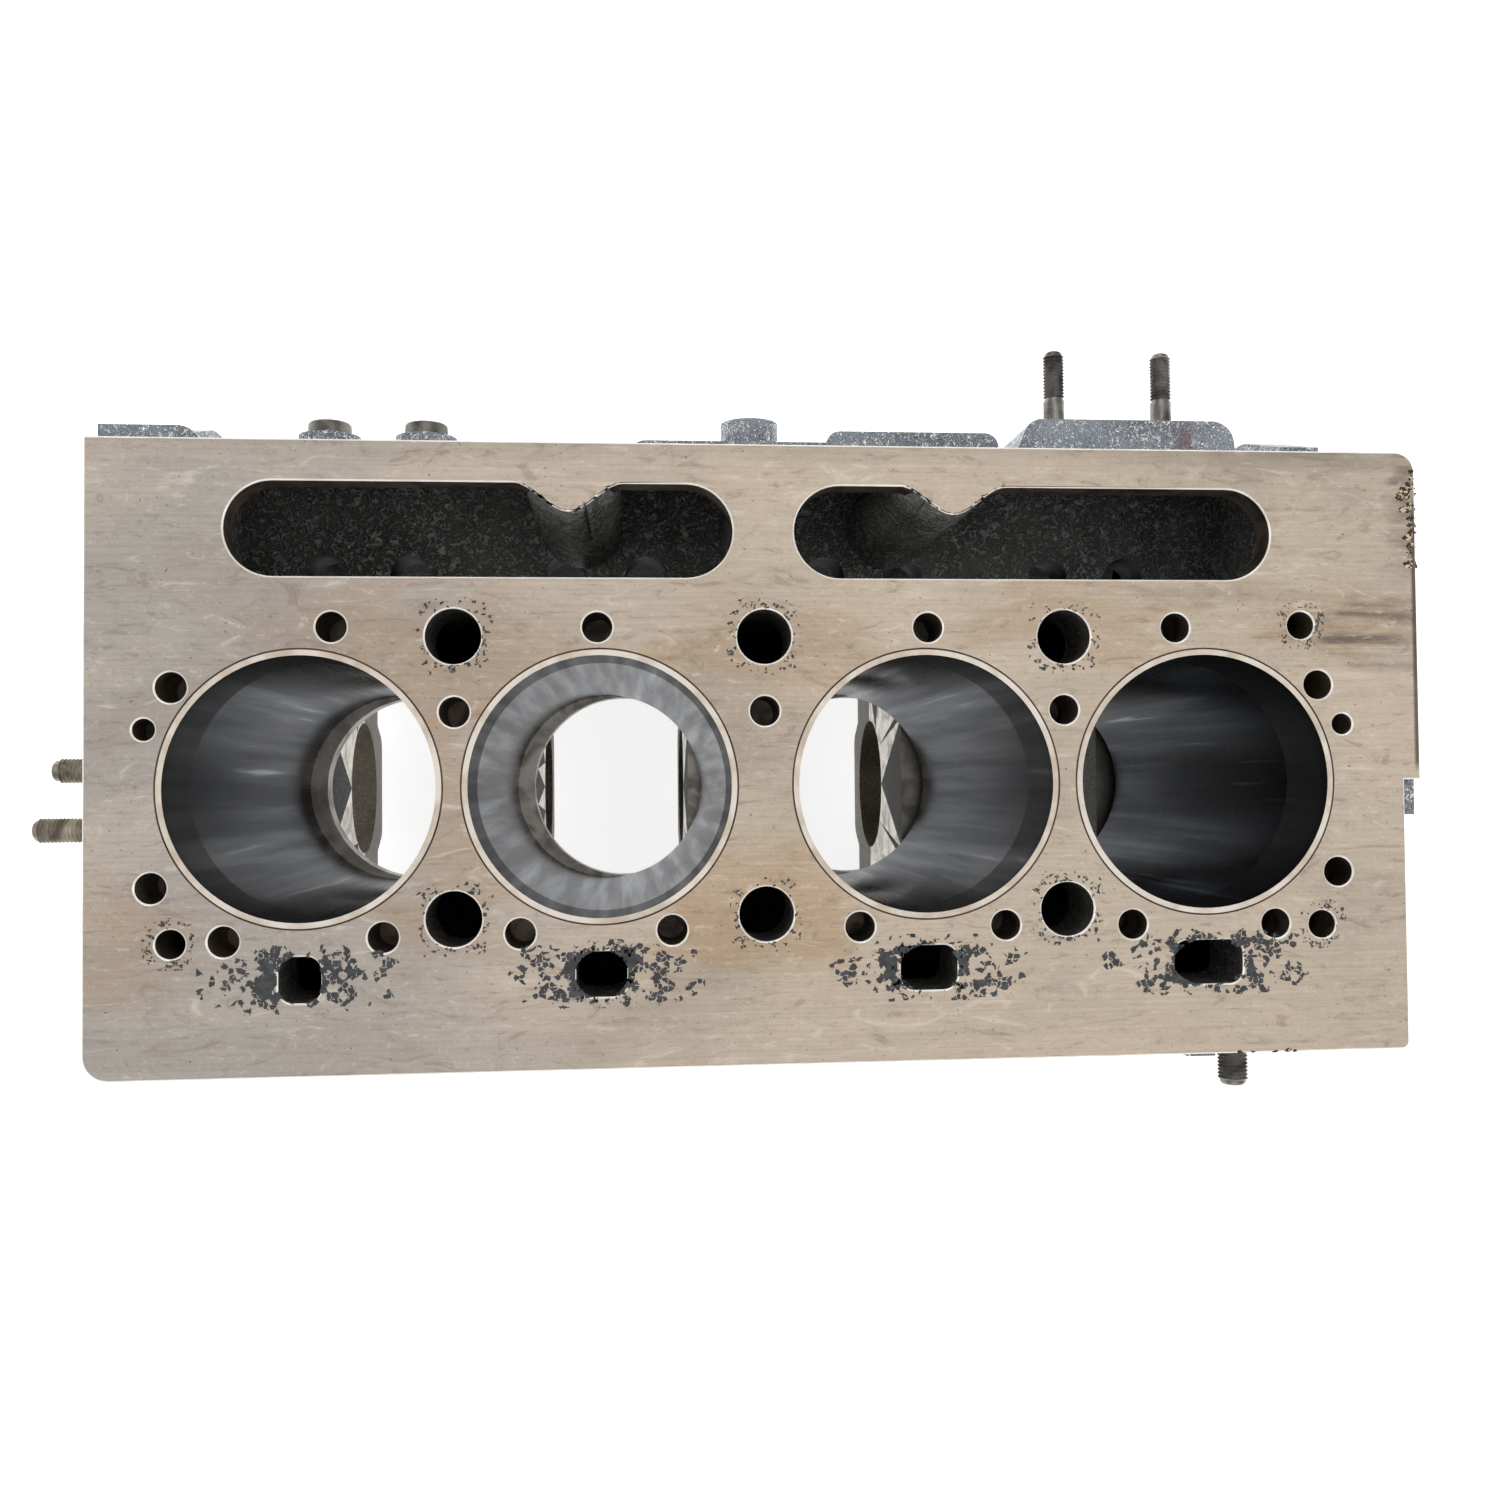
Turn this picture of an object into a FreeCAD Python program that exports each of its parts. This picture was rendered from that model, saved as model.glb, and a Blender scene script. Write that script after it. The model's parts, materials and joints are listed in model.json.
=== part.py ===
"""Four-cylinder engine block with dry liners: casting, liners, main bearing caps, studs, bolts and plugs.

Frame, in millimetres: X runs along the crankshaft from the timing end to the flywheel end, Y points to
the camshaft side and Z up through the deck. The origin lies on the crankshaft axis, halfway between
cylinders 2 and 3.
"""
import FreeCAD, Part
import math
import os

# ---- cylinders and liners ----
bore_diameter = 98.4
liner_wall = 2.4
liner_length = 238.0
end_bore_pitch = 110.0
middle_bore_pitch = 124.0
barrel_wall = 6.9

# ---- deck ----
deck_height = 353.0
deck_thickness = 12.0
deck_lip = 5.5
front_overhang = 77.0
rear_overhang = 80.8
deck_rear_ledge = 6.7
ledge_depth = 42.0
notch_width = 14.0
notch_drop = 5.0
deck_injection_edge = 105.5
deck_camshaft_edge = 129.5
deck_corner_radius = 9.5
rear_corner_radius = 8.0

# ---- head studs, dowels and water holes in the deck ----
stud_hole_diameter = 11.4
stud_hole_depth = 26.0
dowel_hole_diameter = 8.2
dowel_hole_depth = 15.0
small_water_diameter = 10.8
round_water_diameter = 20.8
window_depth = 17.0
window_widths = (15.5, 19.0, 22.0, 27.5)
window_radius = 5.5

# ---- water jacket ----
fire_deck_thickness = 31.0
jacket_floor = 184.0
jacket_injection_wall = 90.0
jacket_camshaft_wall = 67.0
jacket_end_wall = 11.5

# ---- pushrod chambers and camshaft ----
slot_width = 35.5
slot_centre_y = 96.2
slot_inner_gap = 11.7
slot_outer_reach = 27.5
slot_lump_radius = 19.0
slot_lump_intrusion = 10.5
slot_lump_offset = 11.0
chamber_ledge = 214.0
ledge_thickness = 26.0
chamber_inner_y = 74.5
camshaft_wall = 9.0
tappet_diameter = 19.05
tappet_offset = 19.0
camshaft_y = 100.0
camshaft_z = 158.0
camshaft_bore_diameter = 55.6
camshaft_plug_diameter = 58.0
camshaft_plug_thickness = 5.0
camshaft_plug_recess = 4.0
camshaft_plug_dish = 3.2
camshaft_plug_rim = 2.5

# ---- outside of the casting ----
chamber_bulge = 20.5
bulge_top_z = 255.0
waist_z = 132.0
injection_knee_z = 208.0
skirt_camshaft_flare = 4.0
skirt_top_z = 58.0
flange_top_z = 290.0
ear_length = 42.0
ear_slope = 6.0
ear_rise = 8.0
ear_foot_z = 285.0
ear_drop = 14.0
rib_thickness = 10.0
rib_top_z = 205.0
pad_root = 10.0

# ---- crankcase ----
rail_drop = 88.0
rail_thickness = 13.0
rail_half_width = 150.0
skirt_half_width = 128.0
skirt_wall = 10.0
crankcase_roof = 168.0
barrel_lip = 12.0
lip_offset = 8.0
lip_diameter = 97.0
end_wall_gap = 42.5
inner_web_thickness = 31.0
middle_web_thickness = 38.0

# ---- main bearings ----
main_bore_diameter = 80.4
cap_half_width = 66.0
cap_height = 60.0
cap_land_height = 44.0
cap_crown_half_width = 47.0
register_depth = 7.0
cap_bolt_offset = 54.0
cap_bolt_diameter = 14.0
cap_bolt_clearance = 0.4
cap_bolt_reach = 44.0
cap_bolt_across_flats = 20.0
cap_bolt_head_height = 10.0

# ---- bolt holes in the rail and the end faces ----
rail_hole_diameter = 8.0
rail_hole_depth = 20.0
rail_holes_per_side = 4
end_hole_diameter = 8.0
end_hole_depth = 16.0
case_hole_places = ((-94.0, 330.0), (116.0, 330.0), (-126.0, -50.0), (131.0, -50.0))
back_plate_hole_places = ((-90.0, 300.0), (120.0, 300.0), (-124.0, -30.0), (127.0, -30.0))
flange_thickness = 18.0
flange_lip = 7.0

# ---- pads, studs and plugs ----
pump_pad_y = 157.0
pump_pad_x = 167.0
pump_stud_spacing = 50.0
pump_stud_diameter = 9.4
pump_stud_tapped_diameter = 8.6
pump_stud_tip_y = 195.5
pump_stud_z = 263.0
pump_mouth_width = 26.0
front_stud_diameter = 10.0
front_stud_z = 293.0
upper_front_stud_y = 8.0
lower_front_stud_y = -16.0
upper_front_stud_length = 33.5
lower_front_stud_length = 41.0
side_stud_diameter = 12.0
side_stud_x = 194.0
side_stud_z = 323.0
side_stud_length = 24.0
side_stud_engagement = 9.0
side_boss_diameter = 24.0
side_boss_height = 6.0
stud_engagement = 18.0
plug_z = 281.0
plug_face_y = 147.8
plug_boss_diameter = 25.5
plug_thread_diameter = 12.0
plug_thread_length = 8.0
plug_head_diameter = 17.0
plug_socket_flats = 8.0
plug_head_height = 3.8
core_plug_diameter = 44.0
core_plug_depth = 8.0
core_plug_wall = 1.6
core_plug_recess = 1.5
gallery_diameter = 13.0
gallery_boss_diameter = 27.0
gallery_y = 133.0
gallery_z = 78.0
plug_x = (-176.0, -136.0)
core_plug_z = 262.0
gallery_plug_length = 12.0
gallery_plug_socket_depth = 6.0
gallery_plug_flats = 7.0
flat_pad_x = (29.0, 34.0, 107.0, 112.0)
flat_pad_y = 150.4
flat_pad_z = (238.0, 293.0)
strip_x = (-62.0, -48.0, 34.0, 40.0)
strip_y = 142.0
strip_z = (232.0, 307.0)
round_boss_x = 1.2
round_boss_y = 155.5
round_boss_diameter = 24.5
filter_pad_z = 150.0
filter_pad_length = 74.0
filter_pad_height = 62.0
filter_pad_rise = 10.0
filter_port_diameter = 18.0
mount_pad_z = 36.0
mount_pad_length = 92.0
mount_pad_height = 84.0
mount_pad_rise = 14.0
mount_hole_diameter = 12.0
mount_hole_spacing = 60.0
pad_hole_depth = 22.0
spigot_z = 288.0
spigot_offset = 8.0
spigot_diameter = 58.0
spigot_start = 15.0
spigot_length = 16.0
drain_x = 117.0
drain_z = 232.0
drain_diameter = 14.0
drain_head_height = 10.0
drain_across_flats = 19.0

# ---- derived places ----
liner_diameter = bore_diameter + 2 * liner_wall
barrel_diameter = liner_diameter + 2 * barrel_wall
inner_bore_x = middle_bore_pitch / 2
outer_bore_x = inner_bore_x + end_bore_pitch
bore_x = (-outer_bore_x, -inner_bore_x, inner_bore_x, outer_bore_x)
web_x = (inner_bore_x + outer_bore_x) / 2
front_x = -outer_bore_x - front_overhang
rear_x = outer_bore_x + rear_overhang
ledge_x = rear_x + deck_rear_ledge
camshaft_plug_seat = rear_x - camshaft_plug_recess - camshaft_plug_thickness
deck_underside = deck_height - deck_thickness
jacket_ceiling = deck_height - fire_deck_thickness
liner_foot = deck_height - liner_length
lip_foot = liner_foot - barrel_lip
rail_z = -rail_drop
rail_top = rail_z + rail_thickness
body_injection_y = -(deck_injection_edge - deck_lip)
body_camshaft_y = deck_camshaft_edge - deck_lip / 2
bulge_y = deck_camshaft_edge + chamber_bulge
skirt_camshaft_y = skirt_half_width + skirt_camshaft_flare
chamber_outer_y = bulge_y - camshaft_wall
slot_lump_x = inner_bore_x + slot_lump_offset
slot_lump_y = slot_centre_y + slot_width / 2 - slot_lump_intrusion + slot_lump_radius
pad_root_y = deck_camshaft_edge - pad_root
filter_face_y = -skirt_half_width - filter_pad_rise
mount_face_y = -skirt_half_width - mount_pad_rise
side_stud_root = body_injection_y + side_stud_engagement
front_stud_root = front_x + jacket_end_wall - 2.5
webs = (
    (front_x, -outer_bore_x - end_wall_gap),
    (-web_x - inner_web_thickness / 2, -web_x + inner_web_thickness / 2),
    (-middle_web_thickness / 2, middle_web_thickness / 2),
    (web_x - inner_web_thickness / 2, web_x + inner_web_thickness / 2),
    (outer_bore_x + end_wall_gap, rear_x),
)
slot_ends = (slot_inner_gap, outer_bore_x + slot_outer_reach)
tappet_x = tuple(x + side * tappet_offset for x in bore_x for side in (-1, 1))
jacket_front = front_x + jacket_end_wall
jacket_rear = rear_x - jacket_end_wall
stud_row_camshaft = liner_diameter / 2 + 8.1
stud_row_middle = 28.0
stud_row_injection = -(liner_diameter / 2 + 3.4)
water_row_camshaft = 56.2
water_row_injection = -48.7
window_row = -70.0
end_stud_x = outer_bore_x + 46.0
far_stud_x = outer_bore_x + 53.0

head_stud_places = [(side * x, y) for side in (-1, 1) for x, y in (
    (outer_bore_x - 11.3, stud_row_camshaft),
    (inner_bore_x + 1.0, stud_row_camshaft),
    (web_x - 1.0, stud_row_middle),
    (end_stud_x, stud_row_middle + 9.4),
    (far_stud_x, stud_row_injection + 19.2),
    (outer_bore_x + 27.2, stud_row_injection - 0.6),
    (outer_bore_x - 30.0, stud_row_injection),
    (inner_bore_x + 30.0, stud_row_injection + 0.6),
    (inner_bore_x - 26.4, stud_row_injection + 0.9),
)] + [(0.0, stud_row_middle)]
dowel_places = [(side * (far_stud_x + 2.6), 22.0) for side in (-1, 1)]
small_water_places = [
    (-end_stud_x, stud_row_injection - 1.2),
    (end_stud_x, stud_row_injection - 1.2),
    (outer_bore_x + 39.4, stud_row_camshaft + 1.0),
]
round_water_places = [(x, y) for x in (-web_x + 0.7, 0.0, web_x - 0.7)
                      for y in (water_row_camshaft, water_row_injection)]


# ---- shape helpers ----
def place(axis, a, b, along):
    """Point from two coordinates across an axis and one along it, in X, Y, Z order."""
    if axis == "X":
        return FreeCAD.Vector(along, a, b)
    if axis == "Y":
        return FreeCAD.Vector(a, along, b)
    return FreeCAD.Vector(a, b, along)


def prism(corners, axis, start, end):
    """Solid with an outline of (a, b, radius) corners, drawn across an axis and run along it."""
    points = [place(axis, a, b, start) for a, b, radius in corners]
    count = len(points)
    joints = []
    for i, (a, b, radius) in enumerate(corners):
        corner = points[i]
        if radius == 0:
            joints.append((corner, corner, corner))
            continue
        back = (points[i - 1] - corner).normalize()
        ahead = (points[(i + 1) % count] - corner).normalize()
        half = back.getAngle(ahead) / 2
        reach = radius / math.tan(half)
        middle = (back + ahead).normalize() * (radius / math.sin(half) - radius)
        joints.append((corner + back * reach, corner + middle, corner + ahead * reach))
    edges = []
    for i in range(count):
        entry, middle, leave = joints[i]
        if (entry - leave).Length > 1e-6:
            edges.append(Part.Arc(entry, middle, leave).toShape())
        following = joints[(i + 1) % count][0]
        if (following - leave).Length > 1e-6:
            edges.append(Part.LineSegment(leave, following).toShape())
    face = Part.Face(Part.Wire(edges))
    return face.extrude(place(axis, 0, 0, end - start))


def block(x0, x1, y0, y1, z0, z1):
    return Part.makeBox(x1 - x0, y1 - y0, z1 - z0, FreeCAD.Vector(x0, y0, z0))


def rod(axis, a, b, start, end, diameter):
    """Cylinder along an axis."""
    low, high = min(start, end), max(start, end)
    return Part.makeCylinder(diameter / 2, high - low, place(axis, a, b, low), place(axis, 0, 0, 1))


def plate(axis, centre_a, centre_b, size_a, size_b, radius, start, end):
    """Rounded rectangle run along an axis."""
    a, b = size_a / 2, size_b / 2
    corners = [(centre_a + s * a, centre_b + t * b, radius) for s, t in ((-1, -1), (1, -1), (1, 1), (-1, 1))]
    return prism(corners, axis, start, end)


def union(shapes):
    return shapes[0].multiFuse(shapes[1:]).removeSplitter()


def hexagon(axis, a, b, start, end, across_flats):
    radius = across_flats / math.sqrt(3)
    corners = [(a + radius * math.cos(math.radians(60 * i)), b + radius * math.sin(math.radians(60 * i)), 0)
               for i in range(6)]
    return prism(corners, axis, start, end)


# ---- casting: outside ----
def body_profile(grow):
    """Outer section of the casting, from the rail to the deck; grow moves its sides outwards."""
    return [
        (body_injection_y - grow, deck_underside + 1, 0),
        (body_injection_y - grow, injection_knee_z, 35),
        (-skirt_half_width + 4 - grow, waist_z, 35),
        (-skirt_half_width - grow, rail_z, 0),
        (skirt_camshaft_y + grow, rail_z, 0),
        (skirt_camshaft_y + grow, skirt_top_z, 30),
        (bulge_y + grow, waist_z, 30),
        (bulge_y + grow, bulge_top_z, 25),
        (body_camshaft_y + grow, deck_underside - 6, 10),
        (body_camshaft_y + grow, deck_underside + 1, 0),
    ]


def deck_plate():
    corners = [
        (front_x, -deck_injection_edge, deck_corner_radius),
        (rear_x, -deck_injection_edge, 3),
        (rear_x, 0, 0),
        (ledge_x, 0, 0),
        (ledge_x, deck_camshaft_edge, rear_corner_radius),
        (front_x, deck_camshaft_edge, 1),
    ]
    return prism(corners, "Z", deck_underside, deck_height)


def rear_ledge():
    """The camshaft half of the rear wall stands out under the deck, with a rough step beside it."""
    ledge = block(rear_x - 1, ledge_x, 0, body_camshaft_y, deck_height - ledge_depth, deck_underside)
    step = block(rear_x - 1, ledge_x, -notch_width, 0, deck_height - ledge_depth, deck_height - notch_drop)
    return [ledge, step]


def end_flanges():
    """Timing case flange with its upper ear, and the back plate flange."""
    front = prism(body_profile(flange_lip), "X", front_x, front_x + flange_thickness)
    rear = prism(body_profile(flange_lip), "X", rear_x - flange_thickness, rear_x)
    top = block(front_x, rear_x, -deck_injection_edge, body_camshaft_y + 1, rail_z, deck_underside)
    wide = block(front_x, rear_x, -rail_half_width, rail_half_width + 20, rail_z, flange_top_z)
    flanges = [flange.common(union([top, wide])) for flange in (front, rear)]
    ear_end = front_x + ear_length
    ear_y = deck_camshaft_edge + ear_rise
    ear = prism([(front_x, deck_camshaft_edge - 20, 0), (ear_end, deck_camshaft_edge - 20, 0),
                 (ear_end - ear_slope, ear_y, 9), (front_x, ear_y, 0)],
                "Z", ear_foot_z, deck_height - ear_drop)
    return flanges + [ear]


def sump_rail():
    return plate("Z", (front_x + rear_x) / 2, 0, rear_x - front_x, 2 * rail_half_width, 12, rail_z, rail_top)


def side_ribs():
    """Vertical stiffening ribs of the crankcase, in line with the inner webs."""
    half = rib_thickness / 2
    injection = [
        (-skirt_half_width + 20, rail_top, 0),
        (-rail_half_width + 6, rail_top, 0),
        (-skirt_half_width - 2, waist_z, 20),
        (body_injection_y, rib_top_z, 0),
        (body_injection_y + 10, rib_top_z, 0),
    ]
    camshaft = [
        (skirt_half_width - 16, rail_top, 0),
        (rail_half_width - 6, rail_top, 0),
        (rail_half_width - 4, 60, 0),
        (skirt_half_width, 110, 0),
    ]
    return [prism(outline, "X", x - half, x + half)
            for x in (-web_x, 0.0, web_x) for outline in (injection, camshaft)]


def gallery_boss():
    """Round swelling along the crankcase that carries the main oil gallery."""
    return rod("X", gallery_y, gallery_z, front_x, rear_x, gallery_boss_diameter)


def camshaft_side_pads():
    """Machined pads and bosses on the wall of the pushrod chambers."""
    pump_front = pump_pad_x - pump_stud_spacing / 2 - 20
    pump_rear = pump_pad_x + pump_stud_spacing / 2 + 20
    pump_pad = prism([(pump_front - 16, pad_root_y, 0), (pump_rear + 4, pad_root_y, 0),
                      (pump_rear, pump_pad_y, 10), (pump_front, pump_pad_y, 8)],
                     "Z", pump_stud_z - 32, pump_stud_z + 30)
    foot_front, face_front, face_rear, foot_rear = flat_pad_x
    flat_pad = prism([(foot_front, pad_root_y, 0), (foot_rear, pad_root_y, 0),
                      (face_rear, flat_pad_y, 6), (face_front, flat_pad_y, 6)], "Z", *flat_pad_z)
    foot_front, face_front, face_rear, foot_rear = strip_x
    strip = prism([(foot_front, pad_root_y, 0), (foot_rear, pad_root_y, 0),
                   (face_rear, strip_y, 5), (face_front, strip_y, 8)], "Z", *strip_z)
    round_boss = rod("Y", round_boss_x, plug_z, pad_root_y, round_boss_y, round_boss_diameter)
    bosses = [rod("Y", x, plug_z, pad_root_y, plug_face_y, plug_boss_diameter) for x in plug_x]
    return [pump_pad, flat_pad, strip, round_boss] + bosses


def injection_side_pads():
    """Boss of the side stud, filter pad and the two engine mounting pads."""
    wall = body_injection_y + 6
    stud_boss = rod("Y", side_stud_x, side_stud_z, wall, body_injection_y - side_boss_height,
                    side_boss_diameter)
    stop_boss = block(side_stud_x - 20, side_stud_x - 8, body_injection_y - 2 * side_boss_height, wall,
                      side_stud_z - 14, side_stud_z + 2)
    filter_pad = plate("Y", 0, filter_pad_z, filter_pad_length, filter_pad_height, 12, filter_face_y,
                       wall - 10)
    mounts = [plate("Y", x, mount_pad_z, mount_pad_length, mount_pad_height, 14, mount_face_y,
                    -skirt_half_width + 20) for x in (-outer_bore_x, outer_bore_x)]
    return [stud_boss, stop_boss, filter_pad] + mounts


# ---- casting: hollows ----
def barrel(x, top):
    return rod("Z", x, 0, lip_foot, top, barrel_diameter)


def water_jacket():
    """Space round the barrels, between the floor and the thick deck that the head studs screw into."""
    space = plate("Z", (jacket_front + jacket_rear) / 2, (jacket_camshaft_wall - jacket_injection_wall) / 2,
                  jacket_rear - jacket_front, jacket_camshaft_wall + jacket_injection_wall, 16,
                  jacket_floor, jacket_ceiling)
    return space.cut(union([barrel(x, deck_height) for x in bore_x]))


def pushrod_slot(side):
    """Long opening in the deck, less the lump in its outer edge."""
    near, far = slot_ends
    radius = slot_width / 2
    centre = side * (near + far) / 2
    opening = plate("Z", centre, slot_centre_y, far - near, slot_width, radius - 0.01, chamber_ledge + 60,
                    deck_height + 1)
    lump_x = side * slot_lump_x
    lump = rod("Z", lump_x, slot_lump_y, chamber_ledge, deck_height + 2, 2 * slot_lump_radius)
    shoulder_y = slot_centre_y + radius - 1.5
    shoulders = prism([(lump_x - 22, slot_lump_y, 0), (lump_x - 17.5, shoulder_y, 0),
                       (lump_x + 17.5, shoulder_y, 0), (lump_x + 22, slot_lump_y, 0)],
                      "Z", chamber_ledge, deck_height + 2)
    return opening.cut(union([lump, shoulders]))


def pushrod_chamber(side):
    """Cavity under one slot, with the lump of the slot run down its outer wall."""
    near, far = slot_inner_gap - 4, jacket_rear - 6
    section = [
        (chamber_inner_y, chamber_ledge, 8),
        (chamber_outer_y, chamber_ledge, 12),
        (chamber_outer_y, bulge_top_z - 3, 20),
        (body_camshaft_y - camshaft_wall, deck_underside - 8, 0),
        (body_camshaft_y - camshaft_wall, deck_underside, 0),
        (chamber_inner_y, deck_underside, 0),
    ]
    ends = sorted((side * near, side * far))
    cavity = prism(section, "X", ends[0], ends[1])
    column = rod("Z", side * slot_lump_x, slot_lump_y, chamber_ledge, deck_underside, 2 * slot_lump_radius)
    return cavity.cut(column)


def front_spigot():
    """Machined round boss on the inner side of the front wall, seen through the front slot."""
    start = front_x + spigot_start
    return rod("X", camshaft_y + spigot_offset, spigot_z, start, start + spigot_length, spigot_diameter)


def crankcase_bay(front, rear):
    """Hollow between two webs, from the rail up to the jacket floor and the tappet ledge."""
    tunnel_top = chamber_ledge - ledge_thickness
    section = [
        (-skirt_half_width + skirt_wall, rail_z - 1, 0),
        (-skirt_half_width + skirt_wall, 112, 30),
        (body_injection_y + skirt_wall, crankcase_roof, 18),
        (jacket_camshaft_wall - 6, crankcase_roof, 0),
        (chamber_inner_y - 6, tunnel_top, 0),
        (chamber_outer_y, tunnel_top, 14),
        (chamber_outer_y, waist_z + 4, 22),
        (skirt_half_width - skirt_wall, skirt_top_z + 6, 22),
        (skirt_half_width - skirt_wall, rail_z - 1, 0),
    ]
    return prism(section, "X", front, rear)


def crankcase():
    bays = [crankcase_bay(webs[i][1], webs[i + 1][0]) for i in range(4)]
    barrels = [barrel(x, crankcase_roof + 2) for x in bore_x]
    return union(bays).cut(union(barrels))


def web_openings():
    """The inner webs end above the rail, and every web has the register of its bearing cap."""
    cuts = []
    for i, (front, rear) in enumerate(webs):
        cuts.append(block(front - 1, rear + 1, -cap_half_width, cap_half_width, rail_z - 1, 0))
        if 0 < i < 4:
            half = skirt_half_width - skirt_wall
            cuts.append(plate("X", 0, rail_z, 2 * half, 2 * (rail_drop - register_depth), 24,
                              front - 1, rear + 1))
    return cuts


def barrel_bores():
    """Liner bores, with a cast lip of a smaller, offset opening below each liner."""
    cuts = []
    for x in bore_x:
        cuts.append(rod("Z", x, 0, liner_foot, deck_height + 1, liner_diameter))
        cuts.append(rod("Z", x + lip_offset, 0, lip_foot - 1, liner_foot + 1, lip_diameter))
    return cuts


# ---- casting: machining ----
def deck_hole(x, y, bottom, diameter):
    return rod("Z", x, y, bottom, deck_height + 1, diameter)


def deck_holes():
    cuts = [deck_hole(x, y, deck_height - stud_hole_depth, stud_hole_diameter) for x, y in head_stud_places]
    cuts += [deck_hole(x, y, deck_height - dowel_hole_depth, dowel_hole_diameter) for x, y in dowel_places]
    cuts += [deck_hole(x, y, jacket_ceiling - 1, small_water_diameter) for x, y in small_water_places]
    cuts += [deck_hole(x, y, jacket_ceiling - 1, round_water_diameter) for x, y in round_water_places]
    for x, width in zip(bore_x, window_widths):
        cuts.append(plate("Z", x, window_row, width, window_depth, window_radius, jacket_ceiling - 1,
                          deck_height + 1))
    return cuts


def line_bores():
    """Main bearing and camshaft tunnels, tappet bores and the oil gallery."""
    cuts = [
        rod("X", 0, 0, front_x - 1, rear_x + 1, main_bore_diameter),
        rod("X", camshaft_y, camshaft_z, front_x - 1, camshaft_plug_seat, camshaft_bore_diameter),
        rod("X", camshaft_y, camshaft_z, camshaft_plug_seat, rear_x + 1, camshaft_plug_diameter),
        rod("X", gallery_y, gallery_z, front_x - 1, rear_x + 1, gallery_diameter),
    ]
    for x in tappet_x:
        cuts.append(rod("Z", x, camshaft_y, chamber_ledge - ledge_thickness - 1, chamber_ledge + 1,
                        tappet_diameter))
    return cuts


def cap_bolt_holes():
    cuts = []
    for front, rear in webs:
        x = (front + rear) / 2
        for side in (-1, 1):
            cuts.append(rod("Z", x, side * cap_bolt_offset, -1, cap_bolt_reach, cap_bolt_diameter))
    return cuts


def rail_holes():
    cuts = []
    row = rail_half_width - 10
    step = (rear_x - front_x - 40) / (rail_holes_per_side - 1)
    for i in range(rail_holes_per_side):
        for side in (-1, 1):
            cuts.append(rod("Z", front_x + 20 + i * step, side * row, rail_z - 1, rail_z + rail_hole_depth,
                            rail_hole_diameter))
    return cuts


def end_face_holes():
    """Tapped holes for the timing case in the front face and for the back plate in the rear face."""
    cuts = [rod("X", y, z, front_x - 1, front_x + end_hole_depth, end_hole_diameter)
            for y, z in case_hole_places]
    cuts += [rod("X", y, z, rear_x - end_hole_depth, ledge_x + 1, end_hole_diameter)
             for y, z in back_plate_hole_places]
    return cuts


def side_openings():
    """Core plug holes, pump mouth, filter ports and the tapped holes of the pads."""
    inner_wall = -jacket_injection_wall
    cuts = [rod("Y", x, core_plug_z, inner_wall + 1, body_injection_y - 1, core_plug_diameter)
            for x in bore_x]
    cuts.append(plate("Y", pump_pad_x, pump_stud_z - 4, pump_mouth_width, 40, 11,
                      deck_camshaft_edge - 6, pump_pad_y + 1))
    for x in (pump_pad_x - pump_stud_spacing / 2, pump_pad_x + pump_stud_spacing / 2):
        cuts.append(rod("Y", x, pump_stud_z, pump_pad_y - stud_engagement, pump_pad_y + 1,
                        pump_stud_tapped_diameter))
    for x in plug_x:
        cuts.append(rod("Y", x, plug_z, plug_face_y - plug_thread_length, plug_face_y + 1,
                        plug_thread_diameter))
    for y in (upper_front_stud_y, lower_front_stud_y):
        cuts.append(rod("X", y, front_stud_z, front_x - 1, front_stud_root, front_stud_diameter))
    cuts.append(rod("Y", side_stud_x, side_stud_z, body_injection_y - side_boss_height - 1, side_stud_root,
                    side_stud_diameter))
    cuts.append(rod("Y", 0, filter_pad_z, filter_face_y - 1, filter_face_y + pad_hole_depth,
                    filter_port_diameter))
    for centre in (-outer_bore_x, outer_bore_x):
        for x in (-mount_hole_spacing / 2, mount_hole_spacing / 2):
            cuts.append(rod("Y", centre + x, mount_pad_z, mount_face_y - 1, mount_face_y + pad_hole_depth,
                            mount_hole_diameter))
    cuts.append(rod("Y", drain_x, drain_z, body_injection_y - 20, inner_wall + 1, drain_diameter))
    return cuts


def cylinder_block():
    solids = [prism(body_profile(0), "X", front_x, rear_x), deck_plate(), sump_rail(), gallery_boss()]
    solids += rear_ledge() + end_flanges() + side_ribs() + camshaft_side_pads() + injection_side_pads()
    casting = union(solids)
    casting = casting.cut([water_jacket(), crankcase(), pushrod_slot(-1), pushrod_slot(1)])
    casting = casting.cut([pushrod_chamber(-1), pushrod_chamber(1)])
    casting = union([casting, front_spigot()])
    casting = casting.cut(web_openings() + barrel_bores() + line_bores() + cap_bolt_holes())
    casting = casting.cut(deck_holes() + rail_holes() + end_face_holes() + side_openings())
    return casting.removeSplitter()


# ---- separate pieces ----
def cylinder_liner(x):
    return rod("Z", x, 0, liner_foot, deck_height, liner_diameter).cut(
        rod("Z", x, 0, liner_foot - 1, deck_height + 1, bore_diameter))


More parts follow.
